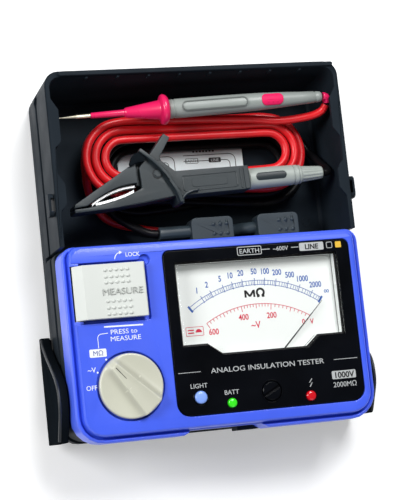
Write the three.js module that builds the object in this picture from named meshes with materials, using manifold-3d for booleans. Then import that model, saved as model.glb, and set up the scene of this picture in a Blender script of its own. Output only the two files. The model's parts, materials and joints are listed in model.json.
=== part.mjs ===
// Analog insulation resistance tester that lives in one half of a hard case, with its two test
// leads wound up in the tray of the other half. It lies on its back: X runs to the right, Y from
// the meter towards the tray's end and Z out of the panel. The origin is on the surface that the
// case lies on, under the middle of the case. Millimetres.
import * as THREE from "three";
import { mergeVertices } from "three/addons/utils/BufferGeometryUtils.js";
import Module from "manifold-3d";

const wasm = await Module();
wasm.setup();

// ---- Driving dimensions -------------------------------------------------------------------
const CASE_X = 74; // half the width of the case
const CASE_Y = 88.5; // half the length of the case
const EAR_X = 79.5; // half the width over the lid's ears
const SEAM_Y = 4; // where the meter half ends and the tray begins
const RIM_Z = 50; // height of the case's rim
const LID_Z = 10.6; // depth of the lid, stowed behind the case
const BASE_Z = LID_Z + 0.3; // underside of the case
const FLOOR_Z = BASE_Z + 2.4; // upper face of the case's floor
const WALL = 3; // case wall
const SHELL_Z = 34.6; // lower edge of the front shell
const DECK_Z = 53.5; // the front shell's raised deck, which is also the panel's face
const DECK_INSET = 3.7; // from the case's side to the edge of the deck
const EDGE_GROOVE = 1.5; // depth of the groove between the rim and the deck
const SEAM_SLOPE = 1.5; // width of the deck's sloped edge along the tray
const EYELET = { y0: 19.5, y1: 30.5, reach: 2.6 }; // strap loops on the case's side walls
const GAP = 0.3; // clearance between neighbouring pieces
const RAIL_Z = 24.5; // middle of the groove that guides the lid
const RAIL_DEPTH = 1.6;

const PANEL = { x0: -26, x1: 67.5, y0: -79.8, y1: -1.4 }; // dark display panel
const WINDOW = { x0: -20.5, x1: 60.8, y0: -52.2, y1: -7.4, step: 5.2 };
const KEY = { x0: -70.2, x1: -36.2, y0: -31.3, y1: -5.8, top: 57.4, hingeX: -68.4, hingeZ: 52.4 };
const KNOB = { x: -47.5, y: -63.2, r: 15.3, top: 58.5 };
const NEEDLE = { x: 20.3, y: -62.7, length: 46.5, z: 47.4, rest: Math.PI / 4 };
const BUTTON = { x: -14.5, y: -71.5, r: 3 };
const ZERO = { x: 20.6, y: -71.6, r: 4.7 };
const LEDS = { battery_led_lens: [0.6, -75.4, 2.2], live_led_lens: [40, -75.6, 2.4] };
const SOCKETS = { earth: 11, line: 45, z: 27, r: 5 };
const CELL = { r: 7.1, length: 49.8, pitch: 15.2, x: -25.3, y: -54.2, z: 21.6 }; // size AA
const SCREWS = [[-65.5, -76], [65.5, -76], [-65.5, -9], [65.5, -9]];
const CABLE_R = 2; // both test leads are 4 mm silicone lead

// ---- Materials ----------------------------------------------------------------------------
const finish = (color, roughness, metalness = 0) =>
  new THREE.MeshStandardMaterial({ color, roughness, metalness });
const CASE_BLACK = finish(0x2b3136, 0.55);
const SHELL_BLUE = finish(0x3a55e6, 0.4);
const PANEL_BLACK = finish(0x101216, 0.25);
const KEY_WHITE = finish(0xe6e9e2, 0.5);
const KNOB_CREAM = finish(0xd2d5c2, 0.45);
const CLEAR = finish(0xe8eef0, 0.05);
const DIAL_WHITE = finish(0xf2f5f0, 0.7);
const STEEL = finish(0xb8bcc0, 0.3, 1);
const BRASS = finish(0xc9b56e, 0.3, 1);
const LEAD_RED = finish(0xd8281f, 0.45);
const LEAD_BLACK = finish(0x1b1d1f, 0.5);
const PROBE_RED = finish(0xd91440, 0.4);
const GRIP_GREY = finish(0x7d827d, 0.55);
const CLIP_GREY = finish(0x41484b, 0.5);
const BARREL_GREY = finish(0x969b96, 0.5);
const BOARD_GREEN = finish(0x1e5a35, 0.6);
const LENS_GREEN = finish(0x3ceb14, 0.2);
const LENS_RED = finish(0xf00f14, 0.2);
const BUTTON_BLUE = finish(0xaac8ff, 0.4);
const CELL_WRAP = finish(0x3f4a58, 0.4);

// ---- Solids -------------------------------------------------------------------------------
const tester = new THREE.Group();

/** Puts a piece into the object, or into a group that places it. */
function add(name, geometry, material, parent = tester) {
  const mesh = new THREE.Mesh(geometry, material);
  mesh.name = name;
  parent.add(mesh);
}

function toSolid(geometry) {
  const bare = geometry.index ? geometry.toNonIndexed() : geometry.clone();
  const only = new THREE.BufferGeometry().setAttribute("position", bare.getAttribute("position"));
  const merged = mergeVertices(only, 1e-4);
  const vertProperties = merged.attributes.position.array;
  const triVerts = new Uint32Array(merged.index.array);
  return new wasm.Manifold(new wasm.Mesh({ numProp: 3, vertProperties, triVerts }));
}

function toGeometry(solid) {
  const mesh = solid.getMesh();
  const geometry = new THREE.BufferGeometry();
  geometry.setAttribute("position", new THREE.BufferAttribute(mesh.vertProperties, 3));
  geometry.setIndex(new THREE.BufferAttribute(mesh.triVerts, 1));
  const flat = geometry.toNonIndexed();
  flat.computeVertexNormals();
  return flat;
}

const join = (...parts) => toGeometry(parts.map(toSolid).reduce((a, b) => a.add(b)));
const cut = (body, ...holes) =>
  toGeometry(holes.map(toSolid).reduce((a, b) => a.subtract(b), toSolid(body)));

function box(x0, x1, y0, y1, z0, z1) {
  return new THREE.BoxGeometry(x1 - x0, y1 - y0, z1 - z0)
    .translate((x0 + x1) / 2, (y0 + y1) / 2, (z0 + z1) / 2);
}

/** Upright cylinder or cone. */
function post(x, y, z0, z1, r0, r1 = r0, sides = 20) {
  return new THREE.CylinderGeometry(r1, r0, z1 - z0, sides)
    .rotateX(Math.PI / 2).translate(x, y, (z0 + z1) / 2);
}

/** Cylinder or cone along Y. */
function bar(x, z, y0, y1, r0, r1 = r0, sides = 20) {
  return new THREE.CylinderGeometry(r1, r0, y1 - y0, sides).translate(x, (y0 + y1) / 2, z);
}

/** Turned piece about X from [x, radius] steps that start and end on the axis. */
function turned(profile, sides = 20) {
  const points = profile.map(([x, r]) => new THREE.Vector2(r, x));
  return new THREE.LatheGeometry(points, sides).rotateZ(-Math.PI / 2);
}

/** Corner points of a rectangle whose corners are arcs; radii run BL, BR, TR, TL. */
function roundedOutline(x0, x1, y0, y1, radii, steps = 5) {
  const corners = [[x0, y0, 1, 1], [x1, y0, -1, 1], [x1, y1, -1, -1], [x0, y1, 1, -1]];
  const points = [];
  corners.forEach(([x, y, sx, sy], i) => {
    const r = Math.max(radii[i], 0.05);
    for (let k = 0; k <= steps; k++) {
      const a = Math.PI * (1 + i / 2 + k / steps / 2);
      points.push(new THREE.Vector2(x + sx * r + r * Math.cos(a), y + sy * r + r * Math.sin(a)));
    }
  });
  return points;
}

/** Closed solid through outlines of equal point count, each with its height: [outline, z]. */
function loft(sections) {
  const count = sections[0][0].length;
  const positions = sections.flatMap(([outline, z]) => outline.flatMap((p) => [p.x, p.y, z]));
  const index = [];
  for (let s = 0; s + 1 < sections.length; s++)
    for (let i = 0; i < count; i++) {
      const a = s * count + i, b = s * count + ((i + 1) % count);
      index.push(a, b, b + count, a, b + count, a + count);
    }
  const last = (sections.length - 1) * count;
  for (const [a, b, c] of THREE.ShapeUtils.triangulateShape(sections[0][0], []))
    index.push(a, c, b);
  for (const [a, b, c] of THREE.ShapeUtils.triangulateShape(sections.at(-1)[0], []))
    index.push(last + a, last + b, last + c);
  const geometry = new THREE.BufferGeometry();
  geometry.setAttribute("position", new THREE.Float32BufferAttribute(positions, 3));
  geometry.setIndex(index);
  return geometry;
}

/** Flat plate between two heights from a list of [x, y] corners. */
function plate(corners, z0, z1) {
  const outline = corners.map(([x, y]) => new THREE.Vector2(x, y));
  if (THREE.ShapeUtils.isClockWise(outline)) outline.reverse();
  return loft([[outline, z0], [outline, z1]]);
}

/** Rounded slab between two heights. */
function slab(x0, x1, y0, y1, z0, z1, r, steps = 4) {
  const outline = roundedOutline(x0, x1, y0, y1, [r, r, r, r], steps);
  return loft([[outline, z0], [outline, z1]]);
}

/** Plate with the given [y, z] profile, standing between two x values. */
function profileX(corners, x0, x1) {
  return plate(corners, x0, x1).applyMatrix4(new THREE.Matrix4().set(
    0, 0, 1, 0, 1, 0, 0, 0, 0, 1, 0, 0, 0, 0, 0, 1));
}

/** Plate with the given [x, z] profile, running between two y values. */
function profileY(corners, y0, y1) {
  return plate(corners, -y1, -y0).applyMatrix4(new THREE.Matrix4().set(
    1, 0, 0, 0, 0, 0, -1, 0, 0, 1, 0, 0, 0, 0, 0, 1));
}

/** Tube of round section along a smooth curve through points. */
function tube(points, radius, steps, sides = 8) {
  const curve = new THREE.CatmullRomCurve3(points.map((p) => new THREE.Vector3(...p)), false,
    "centripetal");
  const section = new THREE.Shape();
  for (let i = 0; i < sides; i++) {
    const a = (i / sides) * Math.PI * 2;
    if (i === 0) section.moveTo(radius, 0);
    else section.lineTo(radius * Math.cos(a), radius * Math.sin(a));
  }
  return new THREE.ExtrudeGeometry(section, { steps, extrudePath: curve });
}

// ---- Front shell, panel and window ---------------------------------------------------------
const shellRadii = [13, 13, 6, 6];
const shellOutline = (inset) =>
  roundedOutline(-CASE_X + inset, CASE_X - inset, -CASE_Y + inset, SEAM_Y - inset,
    shellRadii.map((r) => r - inset));

/** The raised deck: set in behind the groove on three sides, and out to the seam on the fourth. */
const deckOutline = (inset, seamInset) =>
  roundedOutline(-CASE_X + inset, CASE_X - inset, -CASE_Y + inset, SEAM_Y - seamInset,
    [13 - inset, 13 - inset, 5, 5]);

function frontShell() {
  const outside = loft([
    [shellOutline(0), SHELL_Z], [shellOutline(0), RIM_Z - 0.7], [shellOutline(0.5), RIM_Z],
    [shellOutline(1.6), RIM_Z], [shellOutline(1.9), RIM_Z - EDGE_GROOVE],
  ]);
  const deck = loft([
    [deckOutline(2.5, 0.5), RIM_Z - EDGE_GROOVE - 1], [deckOutline(3.2, 0.6), DECK_Z - 0.8],
    [deckOutline(DECK_INSET, 0.6 + SEAM_SLOPE), DECK_Z],
  ]);
  const inside = loft([
    [shellOutline(WALL), SHELL_Z - 1], [shellOutline(WALL), RIM_Z - 3],
    [shellOutline(DECK_INSET + 2), DECK_Z - 3.6],
  ]);
  const bosses = SCREWS.map(([x, y]) => post(x, y, SHELL_Z, DECK_Z - 3, 4, 4, 16));
  const holes = [
    // finger notch and latch notch in the bottom edge
    plate([[-25.5, -90], [-19.5, -86.2], [15, -86.2], [21, -90]], SHELL_Z - 1, RIM_Z + 5),
    // seat of the display panel and the opening behind it
    loft([PANEL_Z_LOW, DECK_Z + 1].map((z) => [panelOutline(-GAP), z])),
    box(PANEL.x0 + 3, PANEL.x1 - 3, PANEL.y0 + 1.2, PANEL.y1 - 3, DECK_Z - 5, DECK_Z + 1),
    // pocket of the measure key, open below its hinge
    slab(KEY.x0 - 0.6, KEY.x1 + 1.7, KEY.y0 - 1.6, KEY.y1 + 1.4, 51.2, DECK_Z + 5, 0.8),
    box(KEY.x0 - 0.6, KEY.x0 + 4, KEY.y0 - 1, KEY.y1 + 1, DECK_Z - 5, DECK_Z + 1),
    post(KEY.x1 + 1.2, KEY.y1 + 1.2, 51.8, DECK_Z + 1, 2.6, 2.6, 16),
    bar(KEY.hingeX, KEY.hingeZ, KEY.y0 - 4.5, KEY.y1 + 4.5, 1, 1, 12),
    post(-45, -18.5, DECK_Z - 5, DECK_Z, 2.6, 2.6, 12),
    // seat and shaft hole of the range knob
    post(KNOB.x, KNOB.y, 51.8, DECK_Z + 1, KNOB.r + 0.8, KNOB.r + 1.1, 40),
    post(KNOB.x, KNOB.y, DECK_Z - 5, DECK_Z, 3.6, 3.6, 16),
    ...SCREWS.map(([x, y]) => post(x, y, SHELL_Z - 1, 43, 1.8, 1.8, 12)),
  ];
  return cut(join(cut(join(outside, deck), inside), ...bosses), ...holes);
}

const PANEL_Z_LOW = 51.4;
const panelOutline = (inset) =>
  roundedOutline(PANEL.x0 + inset, PANEL.x1 - inset, PANEL.y0 + inset, PANEL.y1 - inset,
    [6, 6, 3, 3].map((r) => r - inset));

/** The window's outline: a wide dial opening whose bottom steps down in the middle. */
function windowCorners(inset) {
  const { x0, x1, y0, y1, step } = WINDOW;
  const left = x0 + inset, right = x1 - inset, top = y1 - inset;
  const low = y0 + inset, high = y0 + step + inset;
  return [[left, high], [x0 + 12.5 + inset / 2, high], [x0 + 19.5 + inset / 2, low],
    [x0 + 62 - inset / 2, low], [x0 + 68 - inset / 2, high], [right, high], [right, top],
    [left, top]];
}

function displayPanel() {
  const body = loft([[panelOutline(0), PANEL_Z_LOW + GAP], [panelOutline(0), DECK_Z - 0.2],
    [panelOutline(0.3), DECK_Z + 0.1]]);
  return cut(body,
    plate(windowCorners(-GAP), DECK_Z - 5, DECK_Z + 1),
    post(BUTTON.x, BUTTON.y, DECK_Z - 5, DECK_Z + 1, BUTTON.r + GAP),
    post(ZERO.x, ZERO.y, DECK_Z - 5, DECK_Z + 1, ZERO.r + GAP, ZERO.r + GAP, 24),
    ...Object.values(LEDS).map(([x, y, r]) =>
      post(x, y, DECK_Z - 5, DECK_Z + 1, r + GAP, r + GAP, 16)));
}

function meterWindow() {
  const flat = (inset) => windowCorners(inset).map(([x, y]) => new THREE.Vector2(x, y));
  const glass = loft([[flat(0), PANEL_Z_LOW], [flat(0), DECK_Z + 0.3], [flat(1), DECK_Z + 1.1]]);
  return cut(glass, plate(windowCorners(2), PANEL_Z_LOW - 1, PANEL_Z_LOW + 0.8));
}

add("front_shell", frontShell(), SHELL_BLUE);
add("display_panel", displayPanel(), PANEL_BLACK);
add("meter_window", meterWindow(), CLEAR);
for (const [name, [x, y, r]] of Object.entries(LEDS)) {
  const lens = new THREE.LatheGeometry([[0, 49], [r, 49], [r, 53.6], [r * 0.75, 54.4], [0, 54.7]]
    .map(([radius, z]) => new THREE.Vector2(radius, z)), 16).rotateX(Math.PI / 2);
  add(name, lens.translate(x, y, 0), name === "battery_led_lens" ? LENS_GREEN : LENS_RED);
}

// ---- Controls -------------------------------------------------------------------------------
const BUTTON_BOTTOM = 49.6;
add("light_button", join(
  post(BUTTON.x, BUTTON.y, BUTTON_BOTTOM + 1, 54.2, BUTTON.r, BUTTON.r, 24),
  post(BUTTON.x, BUTTON.y, 54.2, 54.8, BUTTON.r, BUTTON.r - 0.7, 24),
), BUTTON_BLUE);

add("zero_screw", cut(
  join(post(ZERO.x, ZERO.y, 50.4, 53.8, ZERO.r, ZERO.r, 24),
    post(ZERO.x, ZERO.y, 53.8, 54.3, ZERO.r, ZERO.r - 0.6, 24)),
  box(-ZERO.r - 1, ZERO.r + 1, -0.7, 0.7, 53, 56).rotateZ(0.5).translate(ZERO.x, ZERO.y, 0),
), PANEL_BLACK);

/** White key on a hinge at its left edge; the strip over the hinge slopes down. */
function measureKey() {
  const { x0, x1, y0, y1, top, hingeX, hingeZ } = KEY;
  const profile = [[x0, 52.4], [x0, 53], [x0 + 4.2, top], [x1 - 0.4, top], [x1, top - 0.5],
    [x1, 53.6], [x0 + 5, 53.4], [x0 + 4, 51.6], [x0 + 0.8, 51.6]];
  return cut(profileY(profile, y0, y1),
    bar(hingeX, hingeZ, y0 - 1, y1 + 1, 1.25, 1.25, 12));
}
add("measure_key", measureKey(), KEY_WHITE);
add("measure_key_pin", bar(KEY.hingeX, KEY.hingeZ, KEY.y0 - 4, KEY.y1 + 4, 0.7, 0.7, 12), STEEL);

/** Dished disc with a wedge-shaped grip: narrow at the pointer end and wide at the tail. */
function rangeKnob() {
  const disc = loft([[KNOB.r, 52.3], [KNOB.r, 54.6], [KNOB.r - 1.2, 55.4]]
    .map(([r, z]) => [ring(r, 40), z]));
  const grip = loft([[0, 55], [1.4, KNOB.top]].map(([inset, z]) => [gripOutline(inset), z]));
  return cut(join(disc, grip), post(0, 0, 51, 56, 3.3, 3.3, 16));
}
const ring = (r, n) => Array.from({ length: n }, (_, i) =>
  new THREE.Vector2(r * Math.cos((i / n) * 2 * Math.PI), r * Math.sin((i / n) * 2 * Math.PI)));
const gripOutline = (inset) => [[-14 + inset, -5.6 + inset], [13.6 - inset, -3.2 + inset],
  [14.3 - inset, 0], [13.6 - inset, 2.6 - inset], [-14 + inset, 5.6 - inset], [-14.9 + inset, 0]]
  .map(([x, y]) => new THREE.Vector2(x, y));

const knobSeat = new THREE.Group();
knobSeat.position.set(KNOB.x, KNOB.y, 0);
knobSeat.rotation.z = THREE.MathUtils.degToRad(130);
tester.add(knobSeat);
add("range_knob", rangeKnob(), KNOB_CREAM, knobSeat);
add("knob_shaft", post(0, 0, 42.5, 55.6, 3, 3, 16), STEEL, knobSeat);

// ---- Meter movement -------------------------------------------------------------------------
add("scale_plate",
  box(WINDOW.x0 - 2, WINDOW.x1 + 0.4, WINDOW.y0 - 0.5, WINDOW.y1 + 2, 45, 46), DIAL_WHITE);

const movement = new THREE.Group();
movement.position.set(NEEDLE.x, NEEDLE.y, 0);
tester.add(movement);
const lugs = [-1, 1].map((s) => box(s > 0 ? 11 : -19, s > 0 ? 19 : -11, -3, 3, 34, 37));
add("movement_frame", cut(
  join(post(0, 0, 34, 44.6, 14, 14, 28), ...lugs),
  post(0, 0, 35, 46, 11.4, 11.4, 28)), STEEL, movement);
const magnetArms = box(-11.1, 11.1, -1.4, 1.4, 37.6, 41).rotateZ(THREE.MathUtils.degToRad(-45));
add("movement_magnet", join(post(0, 0, 36.4, 42.4, 6.6, 6.6, 20), magnetArms), STEEL, movement);
add("moving_coil", cut(box(-9.4, 9.4, -1.2, 1.2, 35.4, 43.6),
  box(-8, 8, -2, 2, 36, 42.8)), BRASS, movement);
const needleTurn = new THREE.Group();
needleTurn.rotation.z = NEEDLE.rest;
movement.add(needleTurn);
add("pointer", join(
  post(0, 0, 43.9, NEEDLE.z + 0.9, 2, 2, 16),
  plate([[-9, -1.6], [0, -1], [NEEDLE.length - 14, -0.45], [NEEDLE.length, -0.2],
    [NEEDLE.length, 0.2], [NEEDLE.length - 14, 0.45], [0, 1], [-9, 1.6]], NEEDLE.z,
  NEEDLE.z + 0.5)), CASE_BLACK, needleTurn);

// ---- Electronics and cells ------------------------------------------------------------------
add("circuit_board", cut(box(-54, 54, -80, -20, 31.6, 33.2),
  post(KNOB.x, KNOB.y, 31, 34, 3.4, 3.4, 16)), BOARD_GREEN);
add("range_switch", cut(
  join(post(KNOB.x, KNOB.y, 33.5, 43, 14, 14, 24),
    box(KNOB.x - 5, KNOB.x + 5, KNOB.y - 17, KNOB.y + 17, 33.5, 37)),
  post(KNOB.x, KNOB.y, 42, 44, 3.3, 3.3, 16)), LEAD_BLACK);
add("measure_switch", join(box(-51, -39, -24.5, -20.6, 33.5, 46), box(-51, -39, -22, -12.5, 40, 46),
  post(-45, -18.5, 45.5, 51.9, 2, 2, 12)), LEAD_BLACK);
for (const [name, x] of [["earth_socket", SOCKETS.earth], ["line_socket", SOCKETS.line]])
  add(name, cut(
    join(bar(x, SOCKETS.z, -14, SEAM_Y - 0.2, 4.2), bar(x, SOCKETS.z, -2, 0.6, 6.4)),
    bar(x, SOCKETS.z, -12, SEAM_Y + 1, 2.35)), name === "line_socket" ? LEAD_RED : LEAD_BLACK);

const DOOR_SCREW = { x: -2.5, y: -23.4 };
add("battery_holder", cut(
  join(box(-34, 29, -81.5, -26.9, FLOOR_Z + GAP, 30.8),
    box(DOOR_SCREW.x - 4, DOOR_SCREW.x + 4, -27.5, -20, FLOOR_Z + GAP, 20)),
  box(-32.8, 27.8, -80.3, -28.1, BASE_Z, 29.4),
  post(DOOR_SCREW.x, DOOR_SCREW.y, FLOOR_Z - 1, 21, 1.6, 1.6, 12)), CASE_BLACK);
for (let i = 0; i < 4; i++) {
  const end = i % 2 ? -1 : 1;
  const x = CELL.x + i * CELL.pitch;
  const cap = [CELL.y + end * (CELL.length / 2 - 0.5), CELL.y + end * (CELL.length / 2 + 0.8)];
  add(`battery_${i + 1}`, join(
    bar(x, CELL.z, CELL.y - CELL.length / 2, CELL.y + CELL.length / 2, CELL.r),
    bar(x, CELL.z, Math.min(...cap), Math.max(...cap), 2.7, 2.7, 12)), CELL_WRAP);
}

// ---- Meter housing, battery door and screws ---------------------------------------------------
const HOUSING_Y = -86; // the housing stands back from the shell's bottom edge
const DOOR = { x0: -36, x1: 31, y0: -82.5, y1: -19 };
const railCutter = (side, y0, y1) => profileY(
  [[side * (CASE_X + 1), RAIL_Z + 2.2], [side * (CASE_X - RAIL_DEPTH), RAIL_Z + 1.4],
    [side * (CASE_X - RAIL_DEPTH), RAIL_Z - 1.4], [side * (CASE_X + 1), RAIL_Z - 2.2]], y0, y1);

function meterHousing() {
  const outline = (inset, low = 0) => roundedOutline(-CASE_X + inset, CASE_X - inset,
    HOUSING_Y + inset, SEAM_Y - 0.2 - inset, [11, 11, 3, 3].map((r) => r - inset - low));
  const top = SHELL_Z - GAP;
  const outside = loft([[outline(1.5), BASE_Z], [outline(0), BASE_Z + 1.5], [outline(0), top]]);
  const inside = loft([[outline(WALL), FLOOR_Z], [outline(WALL), top + 1]]);
  const posts = SCREWS.map(([x, y]) => post(x, y, FLOOR_Z - 1, top, 4, 4, 16));
  const catchBoss = box(7.5, 18.5, HOUSING_Y - 2.2, HOUSING_Y + 1, 24, top);
  return cut(join(cut(outside, inside), ...posts, catchBoss),
    railCutter(-1, -78, SEAM_Y + 1), railCutter(1, -78, SEAM_Y + 1),
    box(DOOR.x0, DOOR.x1, DOOR.y0, DOOR.y1, BASE_Z - 1, FLOOR_Z + 1),
    ...SCREWS.flatMap(([x, y]) => [post(x, y, BASE_Z - 1, top + 1, 1.8, 1.8, 12),
      post(x, y, BASE_Z - 1, BASE_Z + 3.2, 3.6, 3.6, 16)]),
    ...[SOCKETS.earth, SOCKETS.line].flatMap((x) => [
      bar(x, SOCKETS.z, -10, SEAM_Y + 1, 4.5), bar(x, SOCKETS.z, -10, 1, 6.8)]));
}
add("meter_housing", meterHousing(), CASE_BLACK);
SCREWS.forEach(([x, y], i) => add(`housing_screw_${i + 1}`, cut(
  join(post(x, y, BASE_Z + 1, BASE_Z + 2.9, 3.2, 3.2, 16), post(x, y, BASE_Z + 2, 42, 1.5, 1.5, 12)),
  box(x - 2.2, x + 2.2, y - 0.4, y + 0.4, BASE_Z, BASE_Z + 2),
  box(x - 0.4, x + 0.4, y - 2.2, y + 2.2, BASE_Z, BASE_Z + 2)), STEEL));

function batteryDoor() {
  const flat = slab(DOOR.x0 + GAP, DOOR.x1 - GAP, DOOR.y0 + GAP, DOOR.y1 - GAP, BASE_Z, FLOOR_Z, 0.5);
  const ribs = Array.from({ length: 5 }, (_, i) =>
    box(-12, 7, -78 + i * 2.6, -77 + i * 2.6, BASE_Z - 1, BASE_Z + 0.5));
  return cut(flat, ...ribs,
    post(DOOR_SCREW.x, DOOR_SCREW.y, BASE_Z - 1, FLOOR_Z + 1, 1.6, 1.6, 12),
    post(DOOR_SCREW.x, DOOR_SCREW.y, BASE_Z - 1, BASE_Z + 1.4, 3, 3, 16));
}
add("battery_door", batteryDoor(), CASE_BLACK);
add("battery_door_screw", cut(
  join(post(DOOR_SCREW.x, DOOR_SCREW.y, BASE_Z + 0.1, BASE_Z + 1.1, 2.6, 2.6, 16),
    post(DOOR_SCREW.x, DOOR_SCREW.y, BASE_Z + 1, 18.5, 1.25, 1.25, 12)),
  box(DOOR_SCREW.x - 1.8, DOOR_SCREW.x + 1.8, DOOR_SCREW.y - 0.35, DOOR_SCREW.y + 0.35,
    BASE_Z - 1, BASE_Z + 0.7)), STEEL);

// ---- Tray ---------------------------------------------------------------------------------------
const TRAY_FLOOR_Y = 79.8; // the end wall leans in towards the floor
const tabCorners = (side, y0, y1) => [[side * (CASE_X - 2), y0], [side * (CASE_X - 5.6), y0 + 5],
  [side * (CASE_X - 5.6), y1 - 6], [side * (CASE_X - 2), y1]];
const TABS = [[20, 40], [50, 76]];

function caseTray() {
  const outline = (x, y1, r, y0 = SEAM_Y + 0.2) =>
    roundedOutline(-x, x, y0, y1, [0.2, 0.2, r, r], 6);
  const outside = loft([
    [outline(CASE_X - 1.5, CASE_Y - 3.5, 5.5), BASE_Z], [outline(CASE_X, CASE_Y - 2, 7), BASE_Z + 1.5],
    [outline(CASE_X, CASE_Y, 7), RIM_Z - 0.4], [outline(CASE_X - 0.4, CASE_Y - 0.4, 6.6), RIM_Z]]);
  const open = SEAM_Y - 6;
  const inside = loft([
    [outline(CASE_X - 5, TRAY_FLOOR_Y - 1.5, 4, open), FLOOR_Z],
    [outline(CASE_X - 3.4, TRAY_FLOOR_Y, 5, open), FLOOR_Z + 1.5],
    [outline(CASE_X - 2.4, CASE_Y - 2.8, 5, open), RIM_Z + 1]]);
  const lip = slab(-CASE_X + 7, CASE_X - 2.4, CASE_Y - 2.6, CASE_Y - 0.5, RIM_Z - 1.5, RIM_Z + 1.1, 1, 3);
  const tabs = [-1, 1].flatMap((side) => TABS.map(([y0, y1]) =>
    plate(tabCorners(side, y0, y1), RIM_Z - 2, RIM_Z)));
  const ribs = Array.from({ length: 8 }, (_, i) => {
    const x = -53 + i * 15.4;
    return box(x - 0.6, x + 0.6, CASE_Y - 4, CASE_Y - 2, RIM_Z - 7, RIM_Z - 0.5);
  });
  const keyhole = (side) => profileX([[75, RAIL_Z], [80, RAIL_Z + 4.4], [85, RAIL_Z], [80, RAIL_Z - 4.4]],
    Math.min(side * (CASE_X + 1), side * (CASE_X - RAIL_DEPTH)),
    Math.max(side * (CASE_X + 1), side * (CASE_X - RAIL_DEPTH)));
  return cut(join(cut(outside, inside), lip, ...tabs, ...ribs),
    railCutter(-1, SEAM_Y - 1, 81), railCutter(1, SEAM_Y - 1, 81), keyhole(-1), keyhole(1));
}
add("case_tray", caseTray(), CASE_BLACK);

add("storage_label", plate([[-30, 31], [31.6, 31], [31.6, 56], [-28, 56], [-33.6, 51], [-33.6, 34]],
  FLOOR_Z + GAP, FLOOR_Z + 1.1), BARREL_GREY);

/** Loop for the shoulder strap, standing out of the side wall. */
function strapEyelet(side) {
  const { y0, y1, reach } = EYELET;
  const loop = slab(y0, y1, 41, 48.6, 0, reach, 2.4)
    .applyMatrix4(new THREE.Matrix4().set(0, 0, 1, 0, 1, 0, 0, 0, 0, 1, 0, 0, 0, 0, 0, 1));
  const slot = box(-1, reach - 1.2, y0 + 2.4, y1 - 2.4, 40, 50);
  const eyelet = cut(loop, slot).translate(CASE_X + GAP, 0, 0);
  return side > 0 ? eyelet : eyelet.rotateZ(Math.PI).translate(0, y0 + y1, 0);
}
add("strap_eyelet_right", strapEyelet(1), CASE_BLACK);
add("strap_eyelet_left", strapEyelet(-1), CASE_BLACK);

// ---- Lid, stowed behind the case -------------------------------------------------------------------
const LID_X = CASE_X - 0.5;
function stowedLid() {
  const outline = (inset) => roundedOutline(-LID_X + inset, LID_X - inset, -86.6 + inset, 86.6 - inset,
    [9, 9, 7, 7].map((r) => r - inset));
  const outside = loft([[outline(2), 0], [outline(0.3), 1.6], [outline(0), 3], [outline(0), LID_Z]]);
  const inside = loft([[outline(3), 2.2], [outline(2.2), LID_Z + 1]]);
  return cut(outside, inside);
}
add("lid", stowedLid(), CASE_BLACK);

const EAR_LOW = 5.2; // lower edge of the lid's ears
/** Side ear of the lid: an S-shaped plate whose inner pin runs in the case's side groove. */
function lidEar(side) {
  const between = (a, b) => [Math.min(side * a, side * b), Math.max(side * a, side * b)];
  const bend = [[-34, 8.5], [-38, 11], [-44, 18], [-53, 31.5], [-59, 38], [-65, 40], [-72, 39.4],
    [-80, 34.5], [-86, 30.5]];
  const curve = new THREE.CatmullRomCurve3(bend.map(([y, z]) => new THREE.Vector3(y, z, 0)));
  const topEdge = curve.getPoints(20).map((p) => [p.x, p.y]);
  const wall = profileX([[-86, EAR_LOW], [-34, EAR_LOW], ...topEdge], ...between(CASE_X + 0.6, EAR_X));
  const foot = profileX([[-85, EAR_LOW], [-35, EAR_LOW], [-35, 8], [-85, 8]],
    ...between(LID_X + GAP, CASE_X + 1));
  const pin = new THREE.CylinderGeometry(1.2, 1.2, 2.4, 12).rotateZ(Math.PI / 2)
    .translate(side * (CASE_X + 0.2), -70, RAIL_Z);
  return join(wall, foot, pin);
}
add("lid_ear_left", lidEar(-1), CASE_BLACK);
add("lid_ear_right", lidEar(1), CASE_BLACK);

// ---- Red test lead: probe, winding, plug -----------------------------------------------------------
const probe = new THREE.Group(); // X runs from the tip to the cable end
probe.position.set(-67.1, 67.9, 39.5);
probe.rotation.set(0, THREE.MathUtils.degToRad(-3), THREE.MathUtils.degToRad(1.5), "ZYX");
tester.add(probe);
const TIP_END = 16, GUARD_END = 54.4, BARREL_END = 132.5, PAD_X = 101;
add("probe_tip", turned([[0, 0], [0, 0.25], [10, 0.9], [TIP_END, 1], [TIP_END, 0]], 12), BRASS, probe);
add("probe_guard", turned([[TIP_END + GAP, 0], [TIP_END + GAP, 1.35], [33, 1.6], [34, 2.3], [50, 4.9],
  [50.6, 7.3], [53, 7.5], [GUARD_END, 6.4], [GUARD_END, 0]], 24), PROBE_RED, probe);
const padSlab = (grow, z0, z1) => loft([z0, z1].map((z) => [roundedOutline(PAD_X - grow,
  PAD_X + 10 + grow, -2.9 - grow, 2.9 + grow, [2.6, 2.6, 2.6, 2.6], 4), z]));
add("probe_barrel", cut(turned([[GUARD_END + GAP, 0], [GUARD_END + GAP, 4.6], [60, 4.7], [100, 4.3],
  [128, 2.9], [BARREL_END, 2.4], [BARREL_END, 0]], 24), padSlab(GAP, 2.4, 6)), GRIP_GREY, probe);
add("probe_pad", padSlab(0, 2.7, 4.5), PROBE_RED, probe);
add("probe_strain_relief", tube([[65.9, 71.4, 46.4], [67.2, 71.3, 46.2], [68.3, 70.4, 45.5],
  [68.5, 69, 44.6]], 2.1, 5, 10), PROBE_RED);

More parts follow.
